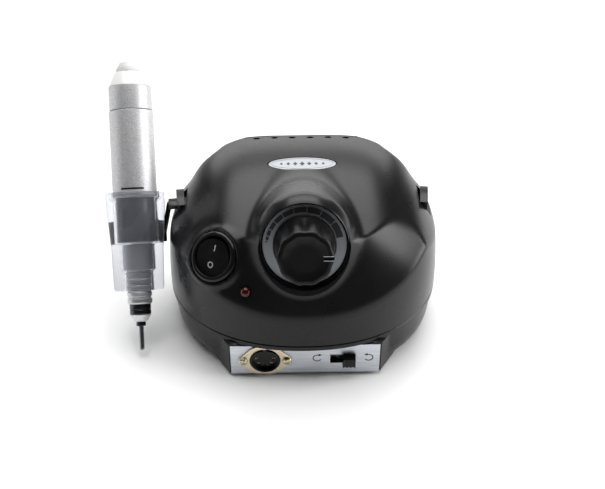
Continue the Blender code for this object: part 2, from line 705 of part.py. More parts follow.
def build_top_details():
    recess = prism("badge_recess_cutter", ellipse(BADGE_HALF_WIDTH + 0.4, BADGE_HALF_DEPTH + 0.4),
                   HOOD_TOP_Z - 0.8, HOOD_TOP_Z + 4.0, upright((0, BADGE_CENTRE_Y, 0)))
    boolean(upper_shell, recess)
    prism("badge_plate", ellipse(BADGE_HALF_WIDTH, BADGE_HALF_DEPTH), HOOD_TOP_Z - 0.7, HOOD_TOP_Z,
          upright((0, BADGE_CENTRE_Y, 0)), "steel")
    for i in range(VENT_COUNT):
        x = (i - (VENT_COUNT - 1) / 2) * VENT_PITCH
        middle = (x, VENT_MIDDLE_Y, float(hood_height(x, VENT_MIDDLE_Y)))
        oval = ellipse(VENT_WIDTH / 2, VENT_LENGTH / 2, 10)
        vent = prism(f"vent_cutter_{i + 1}", oval, -VENT_DEPTH, VENT_DEPTH, upright(middle))
        boolean(upper_shell, vent)


def build_side_inserts():
    for side, label in ((-1, "left"), (1, "right")):
        place = upright((side * INSERT_X, INSERT_Y, INSERT_Z)) @ Matrix.Rotation(-side * INSERT_TURN, 4, "Z")
        opening_size = (22.0, INSERT_LENGTH + 0.6, INSERT_HEIGHT + 0.6)
        boolean(upper_shell, block(f"side_opening_cutter_{label}", opening_size, place))
        insert_size = (INSERT_DEPTH, INSERT_LENGTH, INSERT_HEIGHT)
        insert = block(f"side_insert_{label}", insert_size, place, "gloss_black")
        slot_size = (12.0, REST_TAB_WIDTH + 0.6, REST_TAB_THICKNESS + 0.6)
        boolean(insert, block(f"insert_slot_cutter_{label}", slot_size, place))


def post_top(x, y):
    """As high as a screw post can go without coming through the outer surface."""
    up = np.array([[0.0, 0.0, 1.0]])
    rim = [(x + POST_RADIUS * sx, y + POST_RADIUS * sy) for sx, sy in ((-1, 0), (1, 0), (0, -1), (0, 1))]
    return min(ray_hits(np.array([rx, ry, PARTING_Z]), up, POST_COVER)[0][2] for rx, ry in rim)


def build_posts_and_screws():
    for i, (x, y) in enumerate(CASE_SCREWS):
        place = upright((x, y, 0))
        top = post_top(x, y)
        post = rod(f"post_union_{i + 1}", POST_RADIUS, FLOOR_INSIDE_Z + 0.3, top, place, steps=10)
        boolean(post, rod(f"pilot_cutter_{i + 1}", 1.6, 0, 16.0, place, steps=12))
        boolean(upper_shell, post, "UNION")
        boolean(lower_shell, rod(f"screw_hole_cutter_{i + 1}", 1.9, 0, 8.0, place, steps=12))
        boolean(lower_shell, rod(f"screw_head_cutter_{i + 1}", 3.3, 0, FLOOR_Z + 1.4, place, steps=16))
        screw = ((0, 1.0), (2.4, 1.0), (3.0, 1.8), (3.0, 3.2), (1.3, 3.2), (1.3, 14.0), (0, 15.0))
        turned(f"case_screw_{i + 1}", screw, place, "dark_steel", 10)
    for i, (x, y) in enumerate(FEET):
        place = upright((x, y, 0))
        boolean(lower_shell, rod(f"foot_hole_cutter_{i + 1}", 2.3, 0, 8.0, place, steps=12))
        foot = ((0, 0), (FOOT_RADIUS - 0.6, 0), (FOOT_RADIUS, 0.6), (FOOT_RADIUS, 1.8), (2.0, 1.8),
                (2.0, 4.2), (0, 4.2))
        turned(f"rubber_foot_{i + 1}", foot, place, "rubber", 14)


def build_front_panel():
    face = PLATE_PLANE_Y
    plate_centre = (0, face - 0.1 - PLATE_THICKNESS / 2, (PLATE_TOP_Z + PLATE_BOTTOM_Z) / 2)
    plate = block("front_label_plate", (2 * PLATE_HALF_WIDTH, PLATE_THICKNESS, PLATE_TOP_Z - PLATE_BOTTOM_Z),
                  upright(plate_centre), "steel")
    forward = frame_at((SOCKET_X, face, SOCKET_Z), (0, -1, 0))
    slot = block("slider_slot_cutter", (2 * SLOT_HALF_WIDTH, 20.0, 6.0), upright((SLOT_X, face, SLOT_Z)))
    for target in (plate, lower_shell):
        boolean(target, rod(f"socket_hole_cutter_{target.name}", SOCKET_RADIUS + 0.3, -10.0, 6.0, forward))
        boolean(target, slot)
    front = 0.1 + PLATE_THICKNESS + 0.1
    diamond = [(14.2, 0), (13.2, 3.2), (5.5, 9.6), (-5.5, 9.6), (-13.2, 3.2),
               (-14.2, 0), (-13.2, -3.2), (-5.5, -9.0), (5.5, -9.0), (13.2, -3.2)]
    flange = prism("socket_flange", diamond, front, front + 0.9, forward, "brass")
    boolean(flange, rod("flange_hole_cutter", SOCKET_RADIUS + 0.3, -2.0, 6.0, forward))
    barrel = ((0, -11.0), (6.2, -11.0), (6.2, -2.0), (SOCKET_RADIUS, -1.6), (SOCKET_RADIUS, front + 1.6),
              (SOCKET_RADIUS - 0.9, front + 1.6), (SOCKET_RADIUS - 0.9, front - 0.6), (0, front - 0.6))
    insert = turned("socket_insert", barrel, forward, "gloss_black")
    for i in range(PIN_COUNT):
        angle = math.pi * i / (PIN_COUNT - 1)
        offset = Vector((PIN_CIRCLE_RADIUS * math.cos(angle), -PIN_CIRCLE_RADIUS * math.sin(angle), 0))
        spot = forward @ Matrix.Translation(offset * MM)
        boolean(insert, rod(f"pin_hole_cutter_{i + 1}", PIN_HOLE_RADIUS, -6.0, 6.0, spot, steps=10))
    for side, label in ((-1, "left"), (1, "right")):
        place = frame_at((SOCKET_X + side * SOCKET_SCREW_OFFSET, face, SOCKET_Z), (0, -1, 0))
        for target in (plate, lower_shell, flange):
            boolean(target, rod(f"screw_cutter_{label}_{target.name}", 1.6, -8.0, 6.0, place, steps=12))
        top = front + 1.0
        screw = ((0, -6.0), (1.3, -6.0), (1.3, top), (2.3, top), (2.3, top + 0.5), (1.5, top + 1.2),
                 (0, top + 1.3))
        turned(f"socket_screw_{label}", screw, place, "brass", 16)
    block("direction_slider", SLIDER_SIZE, upright((SLIDER_X, face - 1.3, SLOT_Z)), "gloss_black", 0.5)
    behind_slot = upright((SLOT_X, face + WALL + 4.3, SLOT_Z))
    block("direction_switch_body", (22.0, 8.0, 10.0), behind_slot, "steel", 0.4)


def build_rear_fittings():
    wall = REAR_FLAT_Y - bowl_inset(REAR_FITTING_Z)
    inner = wall - WALL
    gland_end = GLAND_END_Y - wall

    def rearward(x):
        return frame_at((x, wall, REAR_FITTING_Z), (0, 1, 0))

    gland = ((4.2, -WALL - 2.0), (4.2, 0.2), (6.2, 0.2), (6.2, 2.4), (5.0, gland_end),
             (3.1, gland_end), (3.1, -WALL - 2.0))
    turned("mains_cord_gland", gland, rearward(GLAND_X), "rubber", 16, hollow=True)
    boolean(lower_shell, rod("gland_hole_cutter", 4.5, -6.0, 6.0, rearward(GLAND_X), steps=20))
    jack = ((5.4, -16.0), (5.4, -WALL - 1.2), (3.6, -WALL - 1.2), (3.6, 2.6), (1.9, 2.6), (1.9, -16.0))
    turned("pedal_jack_body", jack, rearward(JACK_X), "gloss_black", 16, hollow=True)
    boolean(lower_shell, rod("jack_hole_cutter", 3.9, -6.0, 6.0, rearward(JACK_X), steps=20))
    nut = rod("pedal_jack_nut", 5.4, 0.2, 1.9, rearward(JACK_X), "steel", steps=6)
    boolean(nut, rod("jack_nut_cutter", 3.9, -2.0, 4.0, rearward(JACK_X), steps=20))
    mode_slot = block("mode_slot_cutter", (9.0, 12.0, 4.2), upright((MODE_SWITCH_X, wall, REAR_FITTING_Z)))
    boolean(lower_shell, mode_slot)
    block("mode_slider", (4.0, 6.6, 3.6), upright((MODE_SWITCH_X - 2.2, wall - 0.6, REAR_FITTING_Z)),
          "gloss_black", 0.3)
    behind_mode_slot = upright((MODE_SWITCH_X, inner - 5.2, REAR_FITTING_Z))
    block("mode_switch_body", (15.0, 7.0, 8.0), behind_mode_slot, "steel", 0.4)
    holder = ((0, -28.0), (6.2, -28.0), (6.2, 0.2), (7.8, 0.2), (7.8, 1.6), (5.9, 1.6), (5.9, -4.0),
              (3.2, -4.0), (3.2, -26.0), (0, -26.0))
    turned("fuse_holder", holder, rearward(FUSE_X), "gloss_black", 16)
    boolean(lower_shell, rod("fuse_hole_cutter", 6.5, -6.0, 6.0, rearward(FUSE_X), steps=20))
    cap = rod("fuse_cap", 5.6, -3.4, 3.6, rearward(FUSE_X), "gloss_black", steps=20)
    cap_top = rearward(FUSE_X) @ Matrix.Translation((0, 0, 3.6 * MM))
    boolean(cap, block("fuse_cap_slot_cutter", (7.0, 1.4, 2.4), cap_top))
    rod("fuse", 2.6, -25.0, -4.6, rearward(FUSE_X), "glass", 16)


def build_electrics():
    middle = upright(TRANSFORMER_MIDDLE)
    core = block("transformer_core", (18.0, 36.0, 38.0), middle, "dark_steel")
    boolean(core, block("core_window_cutter", (30.0, 24.0, 24.0), middle))
    block("transformer_winding", (28.0, 23.2, 23.2), middle, "copper", 3.0)
    block("control_board", (44.0, 44.0, 1.6), upright((*BOARD_MIDDLE, BOARD_TOP - 0.8)), "board")
    beside_sink = upright((-34.0, 4.0, 0))
    rod("smoothing_capacitor", 6.0, BOARD_TOP + 0.3, BOARD_TOP + 20.0, beside_sink, "blue_black", 14)
    fins = [(-12, 0), (12, 0)]
    for i in range(5):
        x = 12 - i * 5
        fins += [(x, 12), (x - 1.6, 12), (x - 1.6, 2), (x - 5, 2)] if i < 4 else [(x, 12), (-12, 12)]
    place = upright((-15.0, 4.0, 0))
    prism("heat_sink", fins, BOARD_TOP + 0.3, BOARD_TOP + 22.0, place, "aluminium")
    block("power_transistor", (10.0, 4.4, 15.0), upright((-15.0, 1.4, BOARD_TOP + 10.0)), "gloss_black", 0.3)


def build_rest(handpiece):
    """A clip-on cradle: a tab in the left insert, an arm, and a half-round saddle behind the grip."""
    slide = handpiece @ Matrix.Translation(Vector((0, 0, REST_STATION)) * MM)
    steps = 12
    inner, outer, half = REST_INNER_RADIUS, REST_INNER_RADIUS + REST_THICKNESS, REST_LENGTH / 2
    spread = math.radians(REST_SPREAD)
    angles = [-math.pi / 2 - spread + 2 * spread * i / steps for i in range(steps + 1)]
    outline = [(outer * math.cos(a), outer * math.sin(a)) for a in angles]
    outline += [(inner * math.cos(a), inner * math.sin(a)) for a in reversed(angles)]
    rest = prism("handpiece_rest", outline, -half, half, slide, "gloss_black")
    arm_start, arm_end = Vector(REST_ARM_START), Vector(REST_ARM_END)
    middle = (arm_start + arm_end) / 2
    arm_place = frame_at(middle, arm_end - arm_start, (1, 0, 0))
    arm_size = (*REST_ARM_SECTION, (arm_end - arm_start).length)
    boolean(rest, block("rest_arm_union", arm_size, arm_place), "UNION")
    tab_place = upright((REST_TAB_X, INSERT_Y, INSERT_Z)) @ Matrix.Rotation(INSERT_TURN, 4, "Z")
    tab_size = (REST_TAB_LENGTH, REST_TAB_WIDTH, REST_TAB_THICKNESS)
    boolean(rest, block("rest_tab_union", tab_size, tab_place), "UNION")


def handpiece_frame():
    """Local Z runs from the bit's tip along the handpiece; local Y faces forwards and up."""
    lean, left = math.radians(HANDPIECE_LEAN_BACK), math.radians(HANDPIECE_LEAN_LEFT)
    axis = (-math.sin(left), math.sin(lean) * math.cos(left), math.cos(lean) * math.cos(left))
    return frame_at(HANDPIECE_TIP, axis)


def build_handpiece(place):
    turned("drill_bit", ((0, 0), (0.8, 0.3), (1.175, 2.0), (1.175, 44.0), (0, 44.0)), place, "steel", 16)
    tube("chuck_nut", 2.45, 1.35, 12.7, 14.8, place, "dark_steel", 16)
    tube("collet", 2.5, 1.3, 15.1, 40.0, place, "steel", 16)
    shaft = ((0, 45.0), (2.8, 45.0), (2.8, 19.3), (4.0, 19.3), (4.0, 79.0), (0, 79.0))
    turned("spindle", shaft, place, "steel", 16)
    rotor = ((0, 79.3), (1.5, 79.3), (1.5, 92.0), (7.5, 92.0), (7.5, 112.0), (1.5, 112.0), (1.5, 116.0),
             (0, 116.0))
    turned("motor_rotor", rotor, place, "copper", 16)
    can = ((9.9, 86.0), (9.9, 119.6), (0, 119.6), (0, 118.6), (9.0, 118.6), (9.0, 87.0), (2.0, 87.0),
           (2.0, 86.0))
    turned_closed_end("motor_can", can, place)
    tube("front_bearing", 6.6, 4.3, 44.4, 50.0, place, "steel", 16)
    tube("rear_bearing", 6.6, 4.3, 71.0, 76.6, place, "steel", 16)
    turned("nose_cone", ((2.9, 15.0), (5.5, 18.7), (2.8, 18.7), (2.7, 15.0)), place, "steel", hollow=True)
    tube("nose_ring", 5.5, 4.3, 18.9, 24.0, place, "dark_steel")
    body = [(5.9, 24.2)]
    for i in range(GROOVE_COUNT):
        low = 25.0 + i * GROOVE_PITCH
        body += [(6.35, low), (6.35, low + 2.0), (5.8, low + 2.4), (5.8, low + 2.9)]
    body += [(6.35, 41.7), (7.65, 41.9), (7.65, 55.7), (8.6, 55.9), (8.6, 78.8), (6.9, 78.8), (6.9, 44.1),
             (4.3, 44.1), (4.3, 24.2)]
    turned("nose_body", body, place, "steel", 16, hollow=True)
    tube("twist_ring", 9.9, 8.9, 56.2, 79.0, place, "blue_black")
    grip = ((12.5, 31.3), (12.9, 33.0), (13.1, 40.0), (13.4, 52.0), (14.0, 60.0), (14.4, 66.0), (15.1, 73.0),
            (15.35, 80.0), (15.1, 81.9), (11.9, 81.9), (11.9, 79.0), (10.3, 77.0), (10.3, 56.0), (8.0, 55.0),
            (8.0, 42.0), (6.75, 41.0), (6.75, 31.3))
    turned("grip_sleeve", grip, place, "silicone", 24, hollow=True)
    barrel = ((11.0, 79.3), (11.45, 80.5), (11.45, 123.6), (11.1, 124.0), (10.2, 124.0), (10.2, 83.0),
              (9.0, 83.0), (9.0, 79.3))
    turned("handpiece_barrel", barrel, place, "aluminium", 24, hollow=True)
    cap = ((11.1, 124.3), (11.1, 136.6), (10.6, 137.4), (7.8, 144.0), (5.5, 144.0), (5.5, 136.0),
           (9.8, 133.0), (9.8, 124.3))
    turned("rear_cap", cap, place, "white_abs", 20, hollow=True)
    boot = ((5.2, 138.0), (5.2, 144.3), (7.0, 144.3), (6.4, 146.5), (4.8, 149.3), (2.6, 149.3), (2.6, 138.0))
    turned("cord_boot", boot, place, "grey_pvc", 16, hollow=True)


def turned_closed_end(name, profile, placement):
    """A cup: its outside from the open end, over the closed end, and back down the inside."""
    obj = turned(name, profile, placement, "steel")
    obj.data.edges.add(1)
    obj.data.edges[-1].vertices = (len(profile) - 1, 0)
    return obj


upper_shell = build_upper_shell()
lower_shell = build_lower_shell()
build_posts_and_screws()
build_dial()
build_rocker()
build_lamp()
build_top_details()
build_side_inserts()
build_front_panel()
build_rear_fittings()
build_electrics()
handpiece_place = handpiece_frame()
build_handpiece(handpiece_place)
build_rest(handpiece_place)
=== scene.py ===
"""Looks of an electric nail drill: a black control box and its micromotor handpiece.

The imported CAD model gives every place. Lengths here are millimetres about the control box's own
middle: X runs to the right, Y to the back, Z up. Heights along the handpiece start at the bit's tip.
"""

import json
import math

import bpy
import numpy as np
from mathutils import Matrix, Vector


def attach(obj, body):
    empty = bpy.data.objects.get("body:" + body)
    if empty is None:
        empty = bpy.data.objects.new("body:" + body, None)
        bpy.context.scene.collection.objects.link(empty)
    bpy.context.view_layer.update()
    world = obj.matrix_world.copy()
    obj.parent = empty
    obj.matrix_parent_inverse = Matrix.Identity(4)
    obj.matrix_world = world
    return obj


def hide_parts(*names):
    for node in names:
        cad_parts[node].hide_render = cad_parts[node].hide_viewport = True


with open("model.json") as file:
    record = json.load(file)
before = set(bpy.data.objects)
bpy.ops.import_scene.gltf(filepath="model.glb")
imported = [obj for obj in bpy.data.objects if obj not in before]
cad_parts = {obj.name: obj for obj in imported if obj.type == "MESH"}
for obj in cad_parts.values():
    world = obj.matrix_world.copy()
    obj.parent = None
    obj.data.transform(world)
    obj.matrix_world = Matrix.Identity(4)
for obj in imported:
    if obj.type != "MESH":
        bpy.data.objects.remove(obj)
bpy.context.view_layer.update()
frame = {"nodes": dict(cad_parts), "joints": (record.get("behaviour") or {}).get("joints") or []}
JOINTS = {joint["name"]: joint for joint in frame["joints"]}

MM = 0.001
BOX = "control_box"
GRIP = "handpiece"
SIDES = ((-1, "left"), (1, "right"))

# --- control box ------------------------------------------------------------
OUTLINE_POWER = 2.2
OUTLINE_MIDDLE_Y = -2.0
HALF_WIDTH = 70.8
FRONT_DEPTH = 65.2
REAR_DEPTH = 56.0
REAR_FLAT_Y = 46.0
PARTING_Z = 25.0
PARTING_GAP = 0.3
WALL = 2.4
WALL_CURVE = 2.3
WALL_CURVE_HEIGHT = 35.0
REAR_CURVE_SHARE = 0.2
HOOD_TOP_Z = 82.0
HOOD_CREST_Y = 8.0
HOOD_FALL_FRONT = 0.0026
HOOD_FALL_REAR = 0.0030
HOOD_FALL_SIDE = 1.227e-6
# The sloping face between side wall and hood, against the angle round from the front: its lower
# edge's height, and how far its upper edge is from the outline's middle.
SHOULDER_ANGLES = (0.0, 12.0, 22.0, 38.0, 50.0, 62.0, 75.0, 95.0, 120.0, 180.0)
SHOULDER_Z = (41.0, 41.8, 44.0, 49.3, 55.0, 61.0, 64.0, 60.0, 60.0, 62.0)
HOOD_EDGE_ANGLES = (0.0, 78.0, 90.0, 100.0, 110.0, 117.0, 124.0, 130.0, 136.0, 142.0, 150.0)
HOOD_EDGE_RADII = (50.5, 50.8, 53.2, 56.5, 61.0, 63.5, 60.5, 58.2, 59.2, 62.0, 70.0)
HOOD_EDGE_LIMIT = 0.985
TABLE_SPREAD = (-5.0, -2.5, 0.0, 2.5, 5.0)
CREASE_SOFTNESS = 0.9
SHELL_SEGMENTS = 288
SHELL_RAY_START = (0.0, -2.0, 40.0)
INNER_RINGS = 24
OUTER_RINGS = 120

DIAL_CENTRE = (0.0, -49.0, 74.4)
DIAL_ELEVATION = math.radians(20.7)
BOSS_LIP_RADIUS = 21.4
BOSS_RADIUS = 24.2
BOSS_FLARE_LENGTH = 9.0
BOSS_LENGTH = 60.0
BOSS_LIP_HEIGHT = 1.5
BOSS_BLEND = 6.0
DIAL_RECESS_RADIUS = 20.5
DIAL_FLOOR = -1.0
DIAL_FLOOR_BACK = -3.4
BUSHING_HOLE_RADIUS = 4.0

FLOOR_Z = 2.0
FLOOR_INSIDE_Z = 4.4
BOWL_ROUND = 4.5
BOWL_ROUND_HEIGHT = 10.0
BOWL_LEAN = 0.025
BOWL_STEP = 1.4
LIP_Z = 21.9
PLATE_PLANE_Y = -61.4
PLATE_HALF_WIDTH = 37.5
PLATE_SIDE_RUN = 10.0
PLATE_SIDE_REACH = 16.0

# --- fittings ---------------------------------------------------------------
KNOB_FLUTES = 10
KNOB_HEIGHT = 22.0
KNOB_SKIRT_RADIUS = 15.1
KNOB_FACE_RADIUS = 13.2
KNOB_GRIP_START = 3.0
KNOB_SCOOP_DEPTH = 1.5
KNOB_FACE_SCOOP = 0.5
SPEED_BARS = 10
SPEED_BAR_FIRST = 176.0
SPEED_BAR_SWEEP = 165.0
ROCKER_ELEVATION = math.radians(40.5)
ROCKER_BEARING = math.radians(34.0)
ROCKER_PIVOT = -1.0
ROCKER_TILT = math.radians(10.0)
COLLAR_RADIUS = 13.6
COLLAR_HEIGHT = 1.5
COLLAR_WIDTH = 1.9
LAMP_AIM = (-28.5, -57.7, 53.0)
LAMP_RADIUS = 2.5
BADGE_CENTRE_Y = 9.5
BADGE_HALF = (17.5, 6.0)
VENT_COUNT = 6
VENT_PITCH = 9.7
VENT_HALF = (1.9, 1.2)
VENT_MIDDLE_Y = 40.0
STRIP_Y = 43.2
STRIP_HALF_LENGTH = 31.0
INSERT_MIDDLE = (64.2, 5.0, 61.0)
INSERT_TURN = math.radians(7.0)
INSERT_SIZE = (5.0, 15.0, 8.0)
INSERT_SLOT = (12.0, 7.6, 3.0)
SOCKET_X = -20.2
FRONT_Z = 11.7
SOCKET_SCREW_OFFSET = 11.1
SOCKET_HOLE_RADIUS = 7.7
SOCKET_PINS = 5
PIN_CIRCLE_RADIUS = 4.4
SCREW_HOLE_RADIUS = 1.6
SLOT_X = 19.0
SLOT_HALF_WIDTH = 6.45
SLIDER_X = 21.9
ARROW_SPOTS = (6.0, 32.0)
REAR_Z = 13.5
GLAND_END_Y = 51.2
KNURL_POINTS = 48
GLAND_X, JACK_X, MODE_X, FUSE_X = -24.0, -8.0, 8.0, 24.0
CASE_SCREWS = ((-45.0, -10.0), (45.0, -10.0), (-44.0, 24.0), (44.0, 24.0))
FEET = ((-36.0, -40.0), (36.0, -40.0), (-30.0, 30.0), (30.0, 30.0))

# --- handpiece --------------------------------------------------------------
SPINDLE_JOINT_STATION = 45.0
BIT_RADIUS = 1.175
REST_STATION = 62.0
REST_TAB_X = -64.8
REST_RADII = (15.0, 18.2)
REST_HALF_LENGTH = 6.0
REST_SPREAD = math.radians(55.0)
REST_ARM = ((-73.4, 0.8, 46.0), (-69.9, 6.5, 60.8))

ORIGIN = Vector(JOINTS["speed_knob_turn"]["pos_m"]) - Vector(DIAL_CENTRE) * MM
DIAL_AXIS = np.array([0.0, -math.cos(DIAL_ELEVATION), math.sin(DIAL_ELEVATION)])
DIAL_UP = np.array([0.0, math.sin(DIAL_ELEVATION), math.cos(DIAL_ELEVATION)])
ROCKER_AXIS = np.array([-math.sin(ROCKER_BEARING) * math.cos(ROCKER_ELEVATION),
                        -math.cos(ROCKER_BEARING) * math.cos(ROCKER_ELEVATION), math.sin(ROCKER_ELEVATION)])


# --- places -----------------------------------------------------------------
def placed(point):
    return ORIGIN + Vector(point) * MM


def frame_at(point, axis, up=(0.0, 0.0, 1.0)):
    """Placement with local Z along the axis and local Y as near to the given up as it can be."""
    z_axis = Vector(axis).normalized()
    x_axis = Vector(up).cross(z_axis).normalized()
    y_axis = z_axis.cross(x_axis)
    return Matrix.Translation(placed(point)) @ Matrix((x_axis, y_axis, z_axis)).transposed().to_4x4()


def upright(point, turn=0.0):
    return Matrix.Translation(placed(point)) @ Matrix.Rotation(turn, 4, "Z")


def shifted(placement, x=0.0, y=0.0, z=0.0):
    return placement @ Matrix.Translation(Vector((x, y, z)) * MM)


def in_box_frame(point):
    """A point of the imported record, in millimetres about the control box's middle."""
    return np.array((Vector(point) - ORIGIN) / MM)


ROCKER_POINT = in_box_frame(JOINTS["power_rocker_tilt"]["pos_m"]) - ROCKER_PIVOT * ROCKER_AXIS
HANDPIECE_AXIS = np.array(JOINTS["handpiece_lift"]["axis"])
HANDPIECE_TIP = in_box_frame(JOINTS["spindle_spin"]["pos_m"]) - SPINDLE_JOINT_STATION * HANDPIECE_AXIS
HANDPIECE = frame_at(HANDPIECE_TIP, HANDPIECE_AXIS)
DIAL = frame_at(DIAL_CENTRE, DIAL_AXIS)
ROCKER = frame_at(ROCKER_POINT, ROCKER_AXIS)


# --- materials --------------------------------------------------------------
AROUND = (1.0, 1.0, 14.0)
ALONG = (1.0, 1.0, 0.03)
ACROSS = (0.03, 1.0, 1.0)
HANDPIECE_TURN = HANDPIECE.to_3x3().transposed().to_euler()


def plain(name, colour, roughness, metallic=0.0, **sockets):
    mat = bpy.data.materials.new(name)
    mat.use_nodes = True
    shader = mat.node_tree.nodes["Principled BSDF"]
    shader.inputs["Base Color"].default_value = (*colour, 1.0)
    shader.inputs["Roughness"].default_value = roughness
    shader.inputs["Metallic"].default_value = metallic
    for socket, value in sockets.items():
        shader.inputs[socket.replace("_", " ")].default_value = value
    return mat


def shade(tone, share):
    return tuple(min(1.0, c * share) for c in tone)


def texture(mat, scale, stretch=(1.0, 1.0, 1.0), detail=3.0, kind="ShaderNodeTexNoise"):
    """A noise or cell pattern fixed to the piece; scale is in features a metre.

    AROUND and ALONG are stretches in the handpiece's own direction.
    """
    nodes, links = mat.node_tree.nodes, mat.node_tree.links
    place = nodes.new("ShaderNodeTexCoord").outputs["Object"]
    if stretch in (AROUND, ALONG):
        turn = nodes.new("ShaderNodeMapping")
        turn.inputs["Rotation"].default_value = HANDPIECE_TURN
        links.new(place, turn.inputs["Vector"])
        place = turn.outputs["Vector"]
    mapping = nodes.new("ShaderNodeMapping")
    mapping.inputs["Scale"].default_value = stretch
    links.new(place, mapping.inputs["Vector"])
    pattern = nodes.new(kind)
    pattern.inputs["Scale"].default_value = scale
    if kind == "ShaderNodeTexNoise":
        pattern.inputs["Detail"].default_value = detail
    links.new(mapping.outputs["Vector"], pattern.inputs["Vector"])
    return pattern.outputs["Fac"] if kind == "ShaderNodeTexNoise" else pattern.outputs["Distance"]


def mottled(mat, pattern, dark, light, low=0.3, high=0.7):
    nodes, links = mat.node_tree.nodes, mat.node_tree.links
    ramp = nodes.new("ShaderNodeValToRGB")
    for element, position, tone in zip(ramp.color_ramp.elements, (low, high), (dark, light)):
        element.position = position
        element.color = (*tone, 1.0)
    links.new(pattern, ramp.inputs["Fac"])
    links.new(ramp.outputs["Color"], nodes["Principled BSDF"].inputs["Base Color"])


def uneven_gloss(mat, pattern, smooth, rough):
    nodes, links = mat.node_tree.nodes, mat.node_tree.links
    spread = nodes.new("ShaderNodeMapRange")
    for socket, value in (("From Min", 0.3), ("From Max", 0.7), ("To Min", smooth), ("To Max", rough)):
        spread.inputs[socket].default_value = value
    links.new(pattern, spread.inputs["Value"])
    links.new(spread.outputs["Result"], nodes["Principled BSDF"].inputs["Roughness"])


def grained(mat, pattern, height):
    """Surface grain of a height in millimetres."""
    nodes, links = mat.node_tree.nodes, mat.node_tree.links
    bump = nodes.new("ShaderNodeBump")
    bump.inputs["Strength"].default_value = 1.0
    bump.inputs["Distance"].default_value = height * MM
    links.new(pattern, bump.inputs["Height"])
    links.new(bump.outputs["Normal"], nodes["Principled BSDF"].inputs["Normal"])


def moulded(name, tone, smooth, rough, grain, grain_scale=3500.0, **sockets):
    """Injection-moulded plastic or rubber: faint tone drift, uneven gloss and a fine texture."""
    mat = plain(name, tone, smooth, **sockets)
    drift = texture(mat, 60.0, detail=2.0)
    mottled(mat, drift, shade(tone, 0.90), shade(tone, 1.10))
    uneven_gloss(mat, texture(mat, 90.0, detail=1.0), smooth, rough)
    grained(mat, texture(mat, grain_scale, detail=2.0), grain)
    return mat


def metal(name, tone, smooth, rough, grain, stretch=(1.0, 1.0, 1.0), metallic=1.0):
    """Metal with tooling or brushing marks drawn out by the stretch."""
    mat = plain(name, tone, smooth, metallic)
    marks = texture(mat, 3000.0, stretch, detail=4.0)
    mottled(mat, marks, shade(tone, 0.82), shade(tone, 1.10))
    uneven_gloss(mat, texture(mat, 900.0, stretch, detail=5.0), smooth, rough)
    grained(mat, marks, grain)
    return mat


def blasted(name, tone):
    """Bead-blasted aluminium: close dimples that sparkle."""
    mat = plain(name, tone, 0.48, 0.6)
    dimples = texture(mat, 2400.0, kind="ShaderNodeTexVoronoi")
    mottled(mat, texture(mat, 2600.0, detail=1.0), shade(tone, 0.72), shade(tone, 1.12), 0.36, 0.62)
    uneven_gloss(mat, texture(mat, 1400.0, detail=4.0), 0.40, 0.58)
    grained(mat, dimples, 0.04)
    return mat


def frosted(name, tone):
    """Milky silicone that lets the parts behind it show, with fine drawn lines along the grip."""
    mat = plain(name, tone, 0.18, Transmission_Weight=0.92, IOR=1.14, Specular_IOR_Level=0.5)
    mottled(mat, texture(mat, 160.0, ALONG), shade(tone, 0.93), tone)
    uneven_gloss(mat, texture(mat, 60.0, detail=1.0), 0.15, 0.20)
    grained(mat, texture(mat, 900.0, ALONG), 0.002)
    return mat


